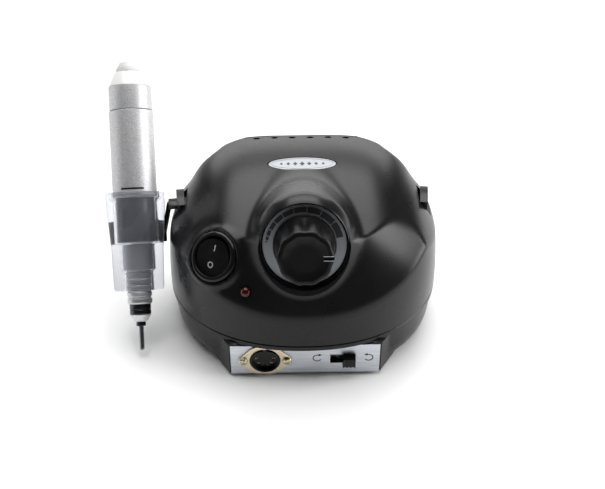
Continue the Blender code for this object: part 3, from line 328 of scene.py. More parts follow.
FINISHES = {
    "black_abs": moulded("satin_black_abs", (0.006, 0.006, 0.0065), 0.27, 0.29, 0.001,
                         Specular_IOR_Level=0.26),
    "knob_black": moulded("knob_black", (0.004, 0.004, 0.0045), 0.34, 0.38, 0.001, Specular_IOR_Level=0.20),
    "gloss_black": moulded("gloss_black_plastic", (0.005, 0.005, 0.0055), 0.20, 0.28, 0.002,
                           Specular_IOR_Level=0.25),
    "steel": metal("turned_steel", (0.62, 0.63, 0.65), 0.22, 0.34, 0.006, AROUND),
    "bit_steel": metal("bit_steel", (0.30, 0.30, 0.31), 0.26, 0.38, 0.006, AROUND),
    "dark_steel": metal("gunmetal", (0.085, 0.087, 0.095), 0.26, 0.38, 0.006, AROUND),
    "cone_steel": metal("satin_nickel", (0.74, 0.75, 0.77), 0.36, 0.48, 0.006, AROUND, metallic=0.6),
    "body_steel": metal("nose_steel", (0.60, 0.61, 0.62), 0.34, 0.46, 0.006, AROUND, metallic=0.6),
    "plate_steel": metal("brushed_plate", (0.56, 0.58, 0.62), 0.30, 0.42, 0.006, ACROSS),
    "badge_steel": metal("badge_silver", (0.38, 0.39, 0.41), 0.36, 0.48, 0.003, ACROSS, metallic=0.3),
    "aluminium": blasted("blasted_aluminium", (0.60, 0.60, 0.61)),
    "dial_grey": metal("dial_grey", (0.30, 0.31, 0.33), 0.36, 0.46, 0.003, metallic=0.85),
    "brass": metal("pale_gold", (0.66, 0.58, 0.42), 0.26, 0.38, 0.008),
    "copper": metal("winding_copper", (0.70, 0.33, 0.18), 0.34, 0.48, 0.010, AROUND),
    "ink": moulded("black_ink", (0.010, 0.010, 0.010), 0.34, 0.44, 0.001),
    "pale_ink": moulded("pale_ink", (0.34, 0.35, 0.36), 0.40, 0.50, 0.001),
    "rubber": moulded("rubber", (0.020, 0.020, 0.020), 0.72, 0.86, 0.020, 1800.0),
    "board": moulded("circuit_board", (0.030, 0.140, 0.060), 0.34, 0.50, 0.004),
    "silicone": frosted("frosted_silicone", (0.74, 0.75, 0.79)),
    "blue_black": moulded("navy_ring", (0.010, 0.012, 0.030), 0.22, 0.34, 0.002),
    "white_abs": moulded("white_shoulder", (0.82, 0.82, 0.81), 0.34, 0.44, 0.003),
    "grey_pvc": moulded("pale_grey_boot", (0.60, 0.61, 0.61), 0.44, 0.56, 0.006),
    "red_lens": moulded("red_lens", (0.040, 0.002, 0.004), 0.10, 0.16, 0.001, Specular_IOR_Level=0.35),
    "glass": moulded("fuse_glass", (0.86, 0.90, 0.90), 0.04, 0.10, 0.001, Transmission_Weight=0.9),
}


# --- mesh helpers -----------------------------------------------------------
def new_mesh(name, vertices, faces, placement):
    mesh = bpy.data.meshes.new(name)
    mesh.from_pydata([tuple(c * MM for c in v) for v in vertices], [], faces)
    mesh.update()
    obj = bpy.data.objects.new(name, mesh)
    bpy.context.scene.collection.objects.link(obj)
    obj.matrix_world = placement
    return obj


def bake(obj):
    """Makes the modifiers' result the piece's own mesh."""
    bpy.context.view_layer.update()
    shown = obj.evaluated_get(bpy.context.evaluated_depsgraph_get())
    mesh = bpy.data.meshes.new_from_object(shown)
    obj.modifiers.clear()
    obj.data = mesh
    return obj


def soften(obj, width, segments=3, angle=30.0):
    rounding = obj.modifiers.new("edges", "BEVEL")
    rounding.width = width * MM
    rounding.segments = segments
    rounding.limit_method = "ANGLE"
    rounding.angle_limit = math.radians(angle)
    return bake(obj)


def joined(objects):
    """One object from several that don't touch, in the first one's frame."""
    first = objects[0]
    inverse = first.matrix_world.inverted()
    vertices, faces = [], []
    for obj in objects:
        start = len(vertices)
        move = inverse @ obj.matrix_world
        vertices += [tuple(move @ v.co / MM) for v in obj.data.vertices]
        faces += [tuple(start + i for i in p.vertices) for p in obj.data.polygons]
    result = new_mesh(first.name, vertices, faces, first.matrix_world)
    for obj in objects:
        bpy.data.objects.remove(obj, do_unlink=True)
    return result


def combine(obj, others, operation="DIFFERENCE"):
    """Cuts the other shapes from a piece, or adds them to it. The others don't touch each other."""
    tool = joined(others)
    modifier = obj.modifiers.new("combine", "BOOLEAN")
    modifier.operation = operation
    modifier.solver = "EXACT"
    modifier.object = tool
    bake(obj)
    bpy.data.objects.remove(tool, do_unlink=True)
    return obj


def dress(obj, finish, body=BOX, replaces=(), sharp=32.0):
    """Gives a finished piece its material and its body, with its placement kept in its mesh."""
    obj.data.transform(obj.matrix_world)
    obj.matrix_world = Matrix.Identity(4)
    obj.data.materials.clear()
    obj.data.materials.append(FINISHES[finish])
    obj.data.shade_smooth()
    obj.data.set_sharp_from_angle(angle=math.radians(sharp))
    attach(obj, body)
    if replaces:
        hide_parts(*replaces)
    return obj


def rounded(points, radius, closed=False, steps=4):
    """A line of 2D points with its corners rounded."""
    result = []
    for i, point in enumerate(points):
        if not closed and i in (0, len(points) - 1):
            result.append(tuple(point))
            continue
        corner = Vector(point)
        back = Vector(points[i - 1]) - corner
        on = Vector(points[(i + 1) % len(points)]) - corner
        reach = min(radius, back.length * 0.45, on.length * 0.45)
        start, end = corner + back.normalized() * reach, corner + on.normalized() * reach
        for k in range(steps + 1):
            t = k / steps
            result.append(tuple((1 - t) ** 2 * start + 2 * t * (1 - t) * corner + t ** 2 * end))
    return result


def lathe(name, profile, placement, steps=96, hollow=False, fillet=0.0):
    """A turned solid from (radius, height) points: the outside upwards, then any bore downwards."""
    line = rounded(profile, fillet, hollow) if fillet else list(profile)
    vertices, rows = [], []
    for radius, height in line:
        if radius < 1e-6:
            rows.append([len(vertices)] * steps)
            vertices.append((0.0, 0.0, height))
        else:
            rows.append(list(range(len(vertices), len(vertices) + steps)))
            turn = [math.tau * i / steps for i in range(steps)]
            vertices += [(radius * math.cos(a), radius * math.sin(a), height) for a in turn]
    faces = []
    for k in range(len(rows) if hollow else len(rows) - 1):
        low, high = rows[k], rows[(k + 1) % len(rows)]
        for i in range(steps):
            j = (i + 1) % steps
            corners = dict.fromkeys((low[i], low[j], high[j], high[i]))
            if len(corners) > 2:
                faces.append(tuple(corners))
    return new_mesh(name, vertices, faces, placement)


def rod(name, radius, bottom, top, placement, steps=48):
    return lathe(name, ((0, bottom), (radius, bottom), (radius, top), (0, top)), placement, steps)


def prism(name, outline, bottom, top, placement):
    count = len(outline)
    vertices = [(x, y, bottom) for x, y in outline] + [(x, y, top) for x, y in outline]
    faces = [tuple(reversed(range(count))), tuple(range(count, 2 * count))]
    faces += [(i, (i + 1) % count, count + (i + 1) % count, count + i) for i in range(count)]
    return new_mesh(name, vertices, faces, placement)


def block(name, size, placement, edge=0.0):
    x, y, z = (s / 2 for s in size)
    obj = prism(name, [(-x, -y), (x, -y), (x, y), (-x, y)], -z, z, placement)
    return soften(obj, edge) if edge else obj


def ellipse(half_x, half_y, count=96):
    turns = [math.tau * i / count for i in range(count)]
    return [(half_x * math.cos(a), half_y * math.sin(a)) for a in turns]


def band(inner, outer, start, end, count=24):
    """The outline of part of a flat ring, between two angles in degrees."""
    angles = [math.radians(start + (end - start) * i / count) for i in range(count + 1)]
    outline = [(outer * math.cos(a), outer * math.sin(a)) for a in angles]
    return outline + [(inner * math.cos(a), inner * math.sin(a)) for a in reversed(angles)]


def ring_stack(name, rings, placement, start=None, end=None):
    """A closed skin through rings that climb the outside; with no end points it closes on itself."""
    count = len(rings[0])
    vertices = [tuple(p) for ring in rings for p in ring]
    faces = []
    for r in range(len(rings) - 1 if start is not None else len(rings)):
        here, there = r * count, ((r + 1) % len(rings)) * count
        faces += [(here + i, here + (i + 1) % count, there + (i + 1) % count, there + i)
                  for i in range(count)]
    if start is not None:
        vertices += [tuple(start), tuple(end)]
        last = (len(rings) - 1) * count
        first_pole, last_pole = len(vertices) - 2, len(vertices) - 1
        faces += [(first_pole, (i + 1) % count, i) for i in range(count)]
        faces += [(last_pole, last + i, last + (i + 1) % count) for i in range(count)]
    return new_mesh(name, vertices, faces, placement)


# --- the control box surface ------------------------------------------------
def outline_ratio(x, y, inset=0.0):
    """1 on the plan outline, less inside it."""
    depth = np.where(y < OUTLINE_MIDDLE_Y, FRONT_DEPTH, REAR_DEPTH) - inset
    across = (np.abs(x) / (HALF_WIDTH - inset)) ** OUTLINE_POWER
    along = (np.abs(y - OUTLINE_MIDDLE_Y) / depth) ** OUTLINE_POWER
    return (across + along) ** (1 / OUTLINE_POWER)


def outline_point(angle, inset, z):
    """The plan outline at an angle round from the front, counter-clockwise seen from above."""
    dx, dy = math.sin(angle), -math.cos(angle)
    reach = 1.0 / float(outline_ratio(np.array(dx), np.array(dy + OUTLINE_MIDDLE_Y), inset))
    x, y = dx * reach, OUTLINE_MIDDLE_Y + dy * reach
    rear = REAR_FLAT_Y - inset
    if y > rear:
        x *= (rear - OUTLINE_MIDDLE_Y) / (y - OUTLINE_MIDDLE_Y)
        y = rear
    return (x, y, z)


def soft_max(a, b, softness):
    blend = np.clip(0.5 + 0.5 * (a - b) / softness, 0.0, 1.0)
    return b + (a - b) * blend + softness * blend * (1.0 - blend)


def soft_min(a, b, softness):
    return -soft_max(-a, -b, softness)


def from_axis(points, centre, axis):
    """How far along an axis each point is, and how far from it."""
    offset = points - np.array(centre)
    along = offset @ axis
    return along, np.linalg.norm(offset - along[:, None] * axis, axis=1)


def smooth_table(bearing, angles, values):
    """A table's value at a bearing, with the table's corners rounded off."""
    nearby = [np.interp(np.abs(bearing + spread), angles, values) for spread in TABLE_SPREAD]
    return sum(nearby) / len(TABLE_SPREAD)


def wall_inset(z):
    """How far the barrel-shaped side wall has come in at a height."""
    return WALL_CURVE * (np.maximum(z - PARTING_Z, 0.0) / WALL_CURVE_HEIGHT) ** 2


def hood_height(x, y):
    fall = np.where(y < HOOD_CREST_Y, HOOD_FALL_FRONT, HOOD_FALL_REAR)
    return HOOD_TOP_Z - fall * (y - HOOD_CREST_Y) ** 2 - HOOD_FALL_SIDE * x ** 4


def shoulder_face(x, y, z, inward):
    """Distance outside the face that runs from the side wall up to the hood's edge."""
    angle = np.arctan2(x, OUTLINE_MIDDLE_Y - y)
    bearing = np.degrees(np.abs(angle))
    radius = smooth_table(bearing, HOOD_EDGE_ANGLES, HOOD_EDGE_RADII)
    across, along = np.sin(angle), -np.cos(angle)
    reach = outline_ratio(radius * across, OUTLINE_MIDDLE_Y + radius * along)
    radius = radius * np.minimum(1.0, HOOD_EDGE_LIMIT / reach)
    reach = np.minimum(reach, HOOD_EDGE_LIMIT)
    low = smooth_table(bearing, SHOULDER_ANGLES, SHOULDER_Z)
    rise = hood_height(radius * across, OUTLINE_MIDDLE_Y + radius * along) - low
    run = np.maximum((1.0 - reach) * FRONT_DEPTH - wall_inset(low), 0.1)
    slope = np.arctan2(rise, run)
    return (z - low) * np.cos(slope) - (inward - wall_inset(low)) * np.sin(slope)


def shell_field(points):
    """Negative inside the upper shell's outer surface, zero on it; close to a distance in mm."""
    x, y, z = points[:, 0], points[:, 1], points[:, 2]
    inward = (1.0 - outline_ratio(x, y)) * FRONT_DEPTH
    rear = y - REAR_FLAT_Y + wall_inset(z) * REAR_CURVE_SHARE
    wall = soft_max(wall_inset(z) - inward, rear, 2 * CREASE_SOFTNESS)
    top = soft_max(z - hood_height(x, y), shoulder_face(x, y, z, inward), CREASE_SOFTNESS)
    body = soft_max(wall, top, 1.5 * CREASE_SOFTNESS)
    along, radius = from_axis(points, DIAL_CENTRE, DIAL_AXIS)
    flare = np.clip((BOSS_LIP_HEIGHT - along) / BOSS_FLARE_LENGTH, 0.0, 1.0)
    boss_radius = BOSS_LIP_RADIUS + (BOSS_RADIUS - BOSS_LIP_RADIUS) * np.sin(flare * math.pi / 2)
    boss = np.maximum(np.maximum(radius - boss_radius, along - BOSS_LIP_HEIGHT), -BOSS_LENGTH - along)
    along, radius = from_axis(points, ROCKER_POINT, ROCKER_AXIS)
    collar = COLLAR_HEIGHT * np.exp(-((radius - COLLAR_RADIUS) / COLLAR_WIDTH) ** 2 - (along / 12.0) ** 2)
    return soft_min(body, boss, BOSS_BLEND) - collar


def ray_hits(start, directions, depth):
    """The point where each ray reaches the given depth under the outer surface."""
    near = np.zeros(len(directions))
    far = np.full(len(directions), 130.0)
    for _ in range(28):
        middle = (near + far) / 2
        inside = shell_field(start + directions * middle[:, None]) + depth < 0
        near = np.where(inside, middle, near)
        far = np.where(inside, far, middle)
    return start + directions * near[:, None]


def dial_circle(radius, height):
    """Points round the dial axis from the bottom, counter-clockwise seen from the front."""
    angles = math.tau * np.arange(SHELL_SEGMENTS) / SHELL_SEGMENTS
    centre = np.array(DIAL_CENTRE) + height * DIAL_AXIS
    across = np.outer(np.sin(angles), (1.0, 0.0, 0.0))
    return centre + radius * (across - np.outer(np.cos(angles), DIAL_UP))


def skin_rings(first, last, depth, count, crowd):
    """Rings over the shell surface from the dial circle to the parting line."""
    start = np.array(SHELL_RAY_START)
    a = (first - start) / np.linalg.norm(first - start, axis=1)[:, None]
    b = (last - start) / np.linalg.norm(last - start, axis=1)[:, None]
    sweep = np.arccos(np.clip((a * b).sum(axis=1), -1.0, 1.0))[:, None]
    rings = []
    for i in range(1, count):
        t = (i / count) ** crowd
        direction = (np.sin((1 - t) * sweep) * a + np.sin(t * sweep) * b) / np.sin(sweep)
        rings.append(ray_hits(start, direction, depth))
    return rings


def parting_ring(inset, z):
    return np.array([outline_point(math.tau * i / SHELL_SEGMENTS, inset, z) for i in range(SHELL_SEGMENTS)])


def surface_frame(aim):
    """Placement on the surface where the line from inside the box through a point meets it."""
    start = np.array(SHELL_RAY_START)
    direction = np.array(aim) - start
    point = ray_hits(start, direction[None, :] / np.linalg.norm(direction), 0.0)[0]
    steps = 0.5 * np.eye(3)
    normal = [(shell_field((point + s)[None, :]) - shell_field((point - s)[None, :]))[0] for s in steps]
    return frame_at(point, normal)


LAMP = surface_frame(LAMP_AIM)


def insert_place(side):
    x, y, z = INSERT_MIDDLE
    return upright((side * x, y, z), -side * INSERT_TURN)


def build_upper_shell():
    edge = PARTING_Z + PARTING_GAP / 2
    outer_edge, inner_edge = parting_ring(0.0, edge + 0.3), parting_ring(WALL, edge)
    lip = dial_circle(BOSS_LIP_RADIUS, BOSS_LIP_HEIGHT - 0.4)
    inner_start = dial_circle(BOSS_LIP_RADIUS - WALL + 1.2, DIAL_FLOOR_BACK)
    rings = [inner_edge]
    rings += list(reversed(skin_rings(inner_start, inner_edge, WALL, INNER_RINGS, 1.2)))
    rings += [inner_start, dial_circle(BUSHING_HOLE_RADIUS, DIAL_FLOOR_BACK)]
    rings += [dial_circle(BUSHING_HOLE_RADIUS, DIAL_FLOOR), dial_circle(DIAL_RECESS_RADIUS, DIAL_FLOOR)]
    rings += [dial_circle(DIAL_RECESS_RADIUS, BOSS_LIP_HEIGHT - 0.3)]
    rings += [dial_circle(DIAL_RECESS_RADIUS + 0.3, BOSS_LIP_HEIGHT)]
    rings += [dial_circle(BOSS_LIP_RADIUS - 0.4, BOSS_LIP_HEIGHT)]
    rings += [lip] + skin_rings(lip, outer_edge, 0.0, OUTER_RINGS, 1.25)
    rings += [outer_edge, parting_ring(0.3, edge)]
    shell = ring_stack("upper_shell_moulding", rings[::-1], upright((0, 0, 0)))
    rocker_seat = ((0, -13), (11.2, -13), (11.2, -1.2), (12.8, -1.2), (12.8, 6), (0, 6))
    tools = [lathe("rocker_seat", rocker_seat, ROCKER), rod("lamp_hole", LAMP_RADIUS + 0.3, -7, 6, LAMP)]
    tools.append(prism("badge_recess", ellipse(BADGE_HALF[0] + 0.6, BADGE_HALF[1] + 0.6), HOOD_TOP_Z - 0.8,
                       HOOD_TOP_Z + 4, upright((0, BADGE_CENTRE_Y, 0))))
    for i in range(VENT_COUNT):
        x = (i - (VENT_COUNT - 1) / 2) * VENT_PITCH
        middle = upright((x, VENT_MIDDLE_Y, float(hood_height(x, VENT_MIDDLE_Y))))
        tools.append(prism("vent", ellipse(*VENT_HALF, 32), -9, 9, middle))
    for side in (-1, 1):
        size = (22.0, INSERT_SIZE[1] + 0.6, INSERT_SIZE[2] + 0.6)
        tools.append(block("side_opening", size, insert_place(side), 0.4))
    combine(shell, tools)
    dress(shell, "black_abs", replaces=["upper_shell"], sharp=28)


def build_vent_strip():
    """A fine raised line along the hood's rear edge, behind the vents."""
    steps = 60
    sections = []
    for i in range(steps + 1):
        x = STRIP_HALF_LENGTH * (2 * i / steps - 1)
        z = float(hood_height(x, STRIP_Y))
        sections.append([(x, STRIP_Y - 0.3, z - 0.5), (x, STRIP_Y + 0.3, z - 0.5),
                         (x, STRIP_Y + 0.2, z + 0.15), (x, STRIP_Y - 0.2, z + 0.15)])
    low, high = np.mean(sections[0], axis=0), np.mean(sections[-1], axis=0)
    strip = ring_stack("vent_strip", sections, upright((0, 0, 0)), low, high)
    dress(strip, "pale_ink")


# --- the lower shell --------------------------------------------------------
def panel_reach(angle):
    """Polar reach from the outline's middle to the flat front panel, and to the cheeks beside it."""
    dx, dy = math.sin(angle), -math.cos(angle)
    if dy > -0.3:
        return None, None
    edge_x, edge_y = PLATE_HALF_WIDTH + 0.8, PLATE_PLANE_Y - OUTLINE_MIDDLE_Y
    front = edge_y / dy
    if abs(front * dx) <= edge_x + 1e-6:
        return front, None
    offset = PLATE_SIDE_REACH * edge_x - PLATE_SIDE_RUN * edge_y
    closing = PLATE_SIDE_REACH * abs(dx) - PLATE_SIDE_RUN * dy
    return None, (offset / closing if closing > 0 else None)


def bowl_inset(z):
    curve = min(max((FLOOR_Z + BOWL_ROUND_HEIGHT - z) / BOWL_ROUND_HEIGHT, 0.0), 1.0)
    step = BOWL_STEP if z < LIP_Z else 0.0
    return BOWL_ROUND * (1 - math.sqrt(1 - curve ** 2)) + BOWL_LEAN * (PARTING_Z - z) + step


def lower_ring(z, panel, inset=0.0):
    """The lower shell's outline at a height; with a panel it is cut flat or filled out at the front."""
    corner = math.atan2(PLATE_HALF_WIDTH + 0.8, OUTLINE_MIDDLE_Y - PLATE_PLANE_Y)
    angles = [math.tau * i / SHELL_SEGMENTS for i in range(SHELL_SEGMENTS)]
    for target in (corner, math.tau - corner):
        nearest = min(range(SHELL_SEGMENTS), key=lambda i: abs(angles[i] - target))
        angles[nearest] = target
    points = []
    for angle in angles:
        x, y, _ = outline_point(angle, bowl_inset(z) + inset, z)
        reach = math.hypot(x, y - OUTLINE_MIDDLE_Y)
        flat, cheek = panel_reach(angle) if panel else (None, None)
        if flat is not None:
            reach = flat - inset
        elif cheek is not None:
            reach = max(reach, cheek - inset)
        points.append((reach * math.sin(angle), OUTLINE_MIDDLE_Y - reach * math.cos(angle), z))
    return points


REAR_WALL_Y = REAR_FLAT_Y - bowl_inset(REAR_Z)


def rearward(x):
    return frame_at((x, REAR_WALL_Y, REAR_Z), (0, 1, 0))


def forward(x):
    return frame_at((x, PLATE_PLANE_Y, FRONT_Z), (0, -1, 0))


def front_openings():
    """Cutters for the handpiece socket, the direction switch's slot and the socket's two screws."""
    tools = [rod("hole", SOCKET_HOLE_RADIUS, -10, 6, forward(SOCKET_X))]
    tools.append(block("slot", (2 * SLOT_HALF_WIDTH, 20, 6), upright((SLOT_X, PLATE_PLANE_Y, FRONT_Z))))
    for side in (-1, 1):
        screw = forward(SOCKET_X + side * SOCKET_SCREW_OFFSET)
        tools.append(rod("hole", SCREW_HOLE_RADIUS, -8, 6, screw, 24))
    return tools


def build_lower_shell():
    top = PARTING_Z - PARTING_GAP / 2
    bowl = [FLOOR_Z + 16.0 * (k / 14) ** 1.6 for k in range(14, 0, -1)]
    rings = [lower_ring(z, True, WALL) for z in (FLOOR_INSIDE_Z, 7.0, 12.0, LIP_Z - 1.5)]
    rings += [lower_ring(top, False, WALL), lower_ring(top, False, 0.3), lower_ring(top - 0.3, False)]
    rings += [lower_ring(LIP_Z + 0.3, False), lower_ring(LIP_Z, False, 0.3), lower_ring(LIP_Z - 0.5, True)]
    rings += [lower_ring(z, True) for z in bowl] + [lower_ring(FLOOR_Z, True, 0.4)]
    shell = ring_stack("lower_shell_moulding", rings[::-1], upright((0, 0, 0)),
                       (0, OUTLINE_MIDDLE_Y, FLOOR_Z), (0, OUTLINE_MIDDLE_Y, FLOOR_INSIDE_Z))
    tools = front_openings()
    for x, radius in ((GLAND_X, 4.5), (JACK_X, 3.9), (FUSE_X, 6.5)):
        tools.append(rod("hole", radius, -6, 6, rearward(x)))
    tools.append(block("slot", (9, 12, 4.2), upright((MODE_X, REAR_WALL_Y, REAR_Z))))
    for x, y in CASE_SCREWS:
        counterbore = ((0, -1), (3.3, -1), (3.3, 3.4), (1.9, 3.4), (1.9, 8), (0, 8))
        tools.append(lathe("counterbore", counterbore, upright((x, y, 0)), 32))
    tools += [rod("hole", 2.3, 0, 8, upright((x, y, 0)), 32) for x, y in FEET]
    combine(shell, tools)
    dress(shell, "black_abs", replaces=["lower_shell"], sharp=28)


# --- dial and knob ----------------------------------------------------------
def build_dial():
    plate = ((20.1, -0.7), (20.1, 0.0), (4.2, 0.0), (4.2, -0.7))
    dress(lathe("dial_ring", plate, DIAL, 144, True, 0.15), "dial_grey", replaces=["dial_plate"])
    edges = [SPEED_BAR_FIRST - SPEED_BAR_SWEEP * (i / SPEED_BARS) ** 1.7 for i in range(SPEED_BARS + 1)]
    for i in range(SPEED_BARS):
        inner = 17.9 - 2.5 * ((i + 0.5) / SPEED_BARS) ** 0.8
        outline = band(inner, 18.7, edges[i + 1] + 0.7, edges[i] - 0.7)
        dress(prism(f"speed_bar_{i + 1}", outline, 0.0, 0.06, DIAL), "ink")


def build_knob():
    """Tapered knob with scooped flutes that are deepest near half its height."""
    count, levels = KNOB_FLUTES * 24, 22
    skirt, face, top = KNOB_SKIRT_RADIUS, KNOB_FACE_RADIUS, KNOB_HEIGHT

    def ring(radius, height, depth):
        points = []
        for i in range(count):
            angle = math.tau * i / count
            wave = 0.5 + 0.5 * math.cos(KNOB_FLUTES * (angle - math.pi / 2))
            r = radius - depth * wave ** 1.4
            points.append((r * math.cos(angle), r * math.sin(angle), height))
        return points

    rings = [ring(3.3, 16.0, 0), ring(3.3, 4.2, 0), ring(7.5, 4.2, 0), ring(7.5, 0.6, 0), ring(14.9, 0.6, 0)]
    rings += [ring(skirt, 0.8, 0), ring(skirt, 2.1, 0), ring(14.9, 2.5, 0), ring(14.4, 2.7, 0)]
    for k in range(levels):
        share = k / (levels - 1)
        radius = skirt - 0.8 - (skirt - 0.8 - face) * share
        scoop = KNOB_SCOOP_DEPTH * math.sin(math.pi * share ** 0.8) + KNOB_FACE_SCOOP * share
        rings.append(ring(radius, KNOB_GRIP_START + (top - 4.0) * share, scoop))
    for k in range(1, 6):
        turn = math.pi / 2 * k / 5
        radius = face - 2.0 * (1 - math.cos(turn))
        rings.append(ring(radius, top - 1.0 + math.sin(turn), KNOB_FACE_SCOOP))
    rings += [ring(10.8, top, 0.3), ring(10.4, top - 0.2, 0.2)]
    rings += [ring(6.0, top - 0.3, 0.0), ring(0.5, top - 0.3, 0)]
    knob = ring_stack("knob_moulding", rings, DIAL, (0, 0, 16.0), (0, 0, top - 0.3))
    pointer = shifted(DIAL, x=10.6, z=top)
    combine(knob, [block("pointer_slot", (5.0, 1.6, 2.0), pointer, 0.2)])
    dress(knob, "knob_black", "knob", ["speed_knob"], 40)
    for side in (-1, 1):
        line = block(f"pointer_line_{'low' if side < 0 else 'high'}", (4.8, 0.35, 0.5),
                     shifted(pointer, x=-0.1, y=side * 1.05, z=-0.2), 0.08)
        dress(line, "pale_ink", "knob")


# --- rocker, lamp and badge -------------------------------------------------
def build_rocker():
    seat = -1.1
    bezel = ((10.9, -14), (10.9, seat), (12.4, seat), (12.4, 1.3), (11.4, 2.2), (9.9, 2.2), (9.9, -14))
    collar = lathe("rocker_collar", bezel, ROCKER, 128, True, 0.35)
    dress(collar, "gloss_black", replaces=["rocker_bezel"], sharp=40)
    ball, count, pivot = 9.6, 96, shifted(ROCKER, z=ROCKER_PIVOT)

    def top(y):
        return 2.6 + math.tan(ROCKER_TILT) * y + 0.06 * math.sqrt(y * y + 0.6)

    def ring(share, height=None):
        points = []
        for i in range(count):
            angle = math.tau * i / count
            r = ball * share
            for _ in range(6):
                h = top(r * math.sin(angle)) if height is None else height
                r = share * math.sqrt(ball ** 2 - h ** 2)
            points.append((r * math.cos(angle), r * math.sin(angle), h))
        return points

    rings = [ring(1.0, height) for height in (-4.5, -3.0, -1.6)]
    rings += [ring(share) for share in (1.0, 0.97, 0.8, 0.6, 0.4, 0.2, 0.05)]
    paddle = ring_stack("rocker_key", rings, pivot, (0, 0, -4.5), (0, 0, top(0)))
    dress(paddle, "gloss_black", "power_rocker", ["rocker_paddle"], 30)
    for name, y in (("rocker_mark_on", 4.2), ("rocker_mark_off", -4.2)):
        slope = math.atan(math.tan(ROCKER_TILT) + math.copysign(0.06, y))
        place = shifted(pivot, y=y, z=top(y) - 0.02) @ Matrix.Rotation(slope, 4, "X")
        if y > 0:
            mark = prism(name, [(-0.28, -1.5), (0.28, -1.5), (0.28, 1.5), (-0.28, 1.5)], 0.0, 0.07, place)
        else:
            mark = lathe(name, ((1.55, 0.0), (1.55, 0.07), (1.05, 0.07), (1.05, 0.0)), place, 48, True)
        dress(mark, "pale_ink", "power_rocker")


def build_lamp():
    dome = [(0, -6), (LAMP_RADIUS, -6), (LAMP_RADIUS, 0.5)]
    turns = [math.pi / 2 * k / 12 for k in range(1, 12)]
    dome += [(LAMP_RADIUS * math.cos(a), 0.5 + 2.1 * math.sin(a)) for a in turns]
    dress(lathe("lamp_lens", dome + [(0, 2.6)], LAMP, 64), "red_lens", replaces=["power_lamp"], sharp=60)


def build_badge():
    """A plain oval plate with an engraved rim line and a small row of lozenges."""
    place = upright((0, BADGE_CENTRE_Y, 0))
    plate = prism("oval_badge", ellipse(*BADGE_HALF), HOOD_TOP_Z - 0.7, HOOD_TOP_Z - 0.05, place)
    plate = soften(plate, 0.35)
    outer, inner = (ellipse(BADGE_HALF[0] - rim, BADGE_HALF[1] - rim) for rim in (1.2, 1.6))
    groove = prism("rim_line", outer, HOOD_TOP_Z - 0.2, HOOD_TOP_Z + 1, place)
    combine(groove, [prism("rim_middle", inner, HOOD_TOP_Z - 1, HOOD_TOP_Z + 2, place)])
    combine(plate, [groove])
    dress(plate, "badge_steel", replaces=["badge_plate"])
    for i in range(-3, 4):
        half = 1.9 - 0.25 * abs(i)
        lozenge = [(-half * 0.7, 0), (0, -half), (half * 0.7, 0), (0, half)]
        spot = upright((3.6 * i, BADGE_CENTRE_Y, HOOD_TOP_Z))
        dress(prism(f"badge_lozenge_{i + 4}", lozenge, -0.08, -0.01, spot), "ink")


# --- sides and rest ---------------------------------------------------------
def build_side_inserts():
    for side, label in SIDES:
        place = insert_place(side)
        size = (INSERT_SIZE[0] - 0.8, *INSERT_SIZE[1:])
        insert = block(f"side_socket_{label}", size, shifted(place, x=-side * 0.4), 0.3)
        combine(insert, [block("slot", INSERT_SLOT, place, 0.2)])
        dress(insert, "gloss_black", replaces=[f"side_insert_{label}"])


def build_rest():
    middle = shifted(HANDPIECE, z=REST_STATION)
    inner, outer = REST_RADII
    spread = math.degrees(REST_SPREAD)
    saddle = band(inner, outer, -90 - spread, -90 + spread, 40)
    rest = soften(prism("rest_saddle", saddle, -REST_HALF_LENGTH, REST_HALF_LENGTH, middle), 0.6)
    start, end = Vector(REST_ARM[0]), Vector(REST_ARM[1])
    arm_place = frame_at((start + end) / 2, end - start, (1, 0, 0))
    arm = block("arm", (4.0, 2.6, (end - start).length), arm_place, 0.4)
    combine(rest, [arm], "UNION")
    _, y, z = INSERT_MIDDLE
    combine(rest, [block("tab", (11.0, 7.0, 2.4), upright((REST_TAB_X, y, z), INSERT_TURN), 0.3)], "UNION")
    dress(rest, "gloss_black", replaces=["handpiece_rest"])


# --- front panel ------------------------------------------------------------
def build_front_plate():
    plate = block("panel_plate", (75.0, 0.6, 18.9), upright((0, PLATE_PLANE_Y - 0.4, 11.65)), 0.12)
    combine(plate, front_openings())
    dress(plate, "plate_steel", replaces=["front_label_plate"])
    for x, sense, label in ((ARROW_SPOTS[0], 1, "left"), (ARROW_SPOTS[1], -1, "right")):
        place = shifted(forward(x), y=0.6)
        arc = band(1.75, 2.3, 90 - 30 * sense, 90 + 240 * sense, 32)
        outline = arc if sense > 0 else arc[::-1]
        dress(prism(f"turn_arrow_arc_{label}", outline, 0.7, 0.76, place), "ink")
        tip = [(-1.5 * sense, 1.2), (0.3 * sense, 2.05), (-1.5 * sense, 3.0)]
        head = [(px + 2.2 * sense, py) for px, py in (tip if sense > 0 else tip[::-1])]
        dress(prism(f"turn_arrow_head_{label}", head, 0.7, 0.76, place), "ink")


def cross_screw(name, head, place, finish, replaces, half=1.5, turn=0.0):
    """A turned screw whose head takes a cross-head driver."""
    screw = lathe(name, head, place, 48)
    crown = head[-1][1]
    spot = shifted(place, z=crown) @ Matrix.Rotation(turn, 4, "Z")
    cross = block("cross", (2 * half, 0.55, 1.5), spot)
    combine(cross, [block("cross_arm", (0.55, 2 * half, 1.5), spot)], "UNION")
    combine(screw, [cross])
    dress(screw, finish, replaces=replaces)


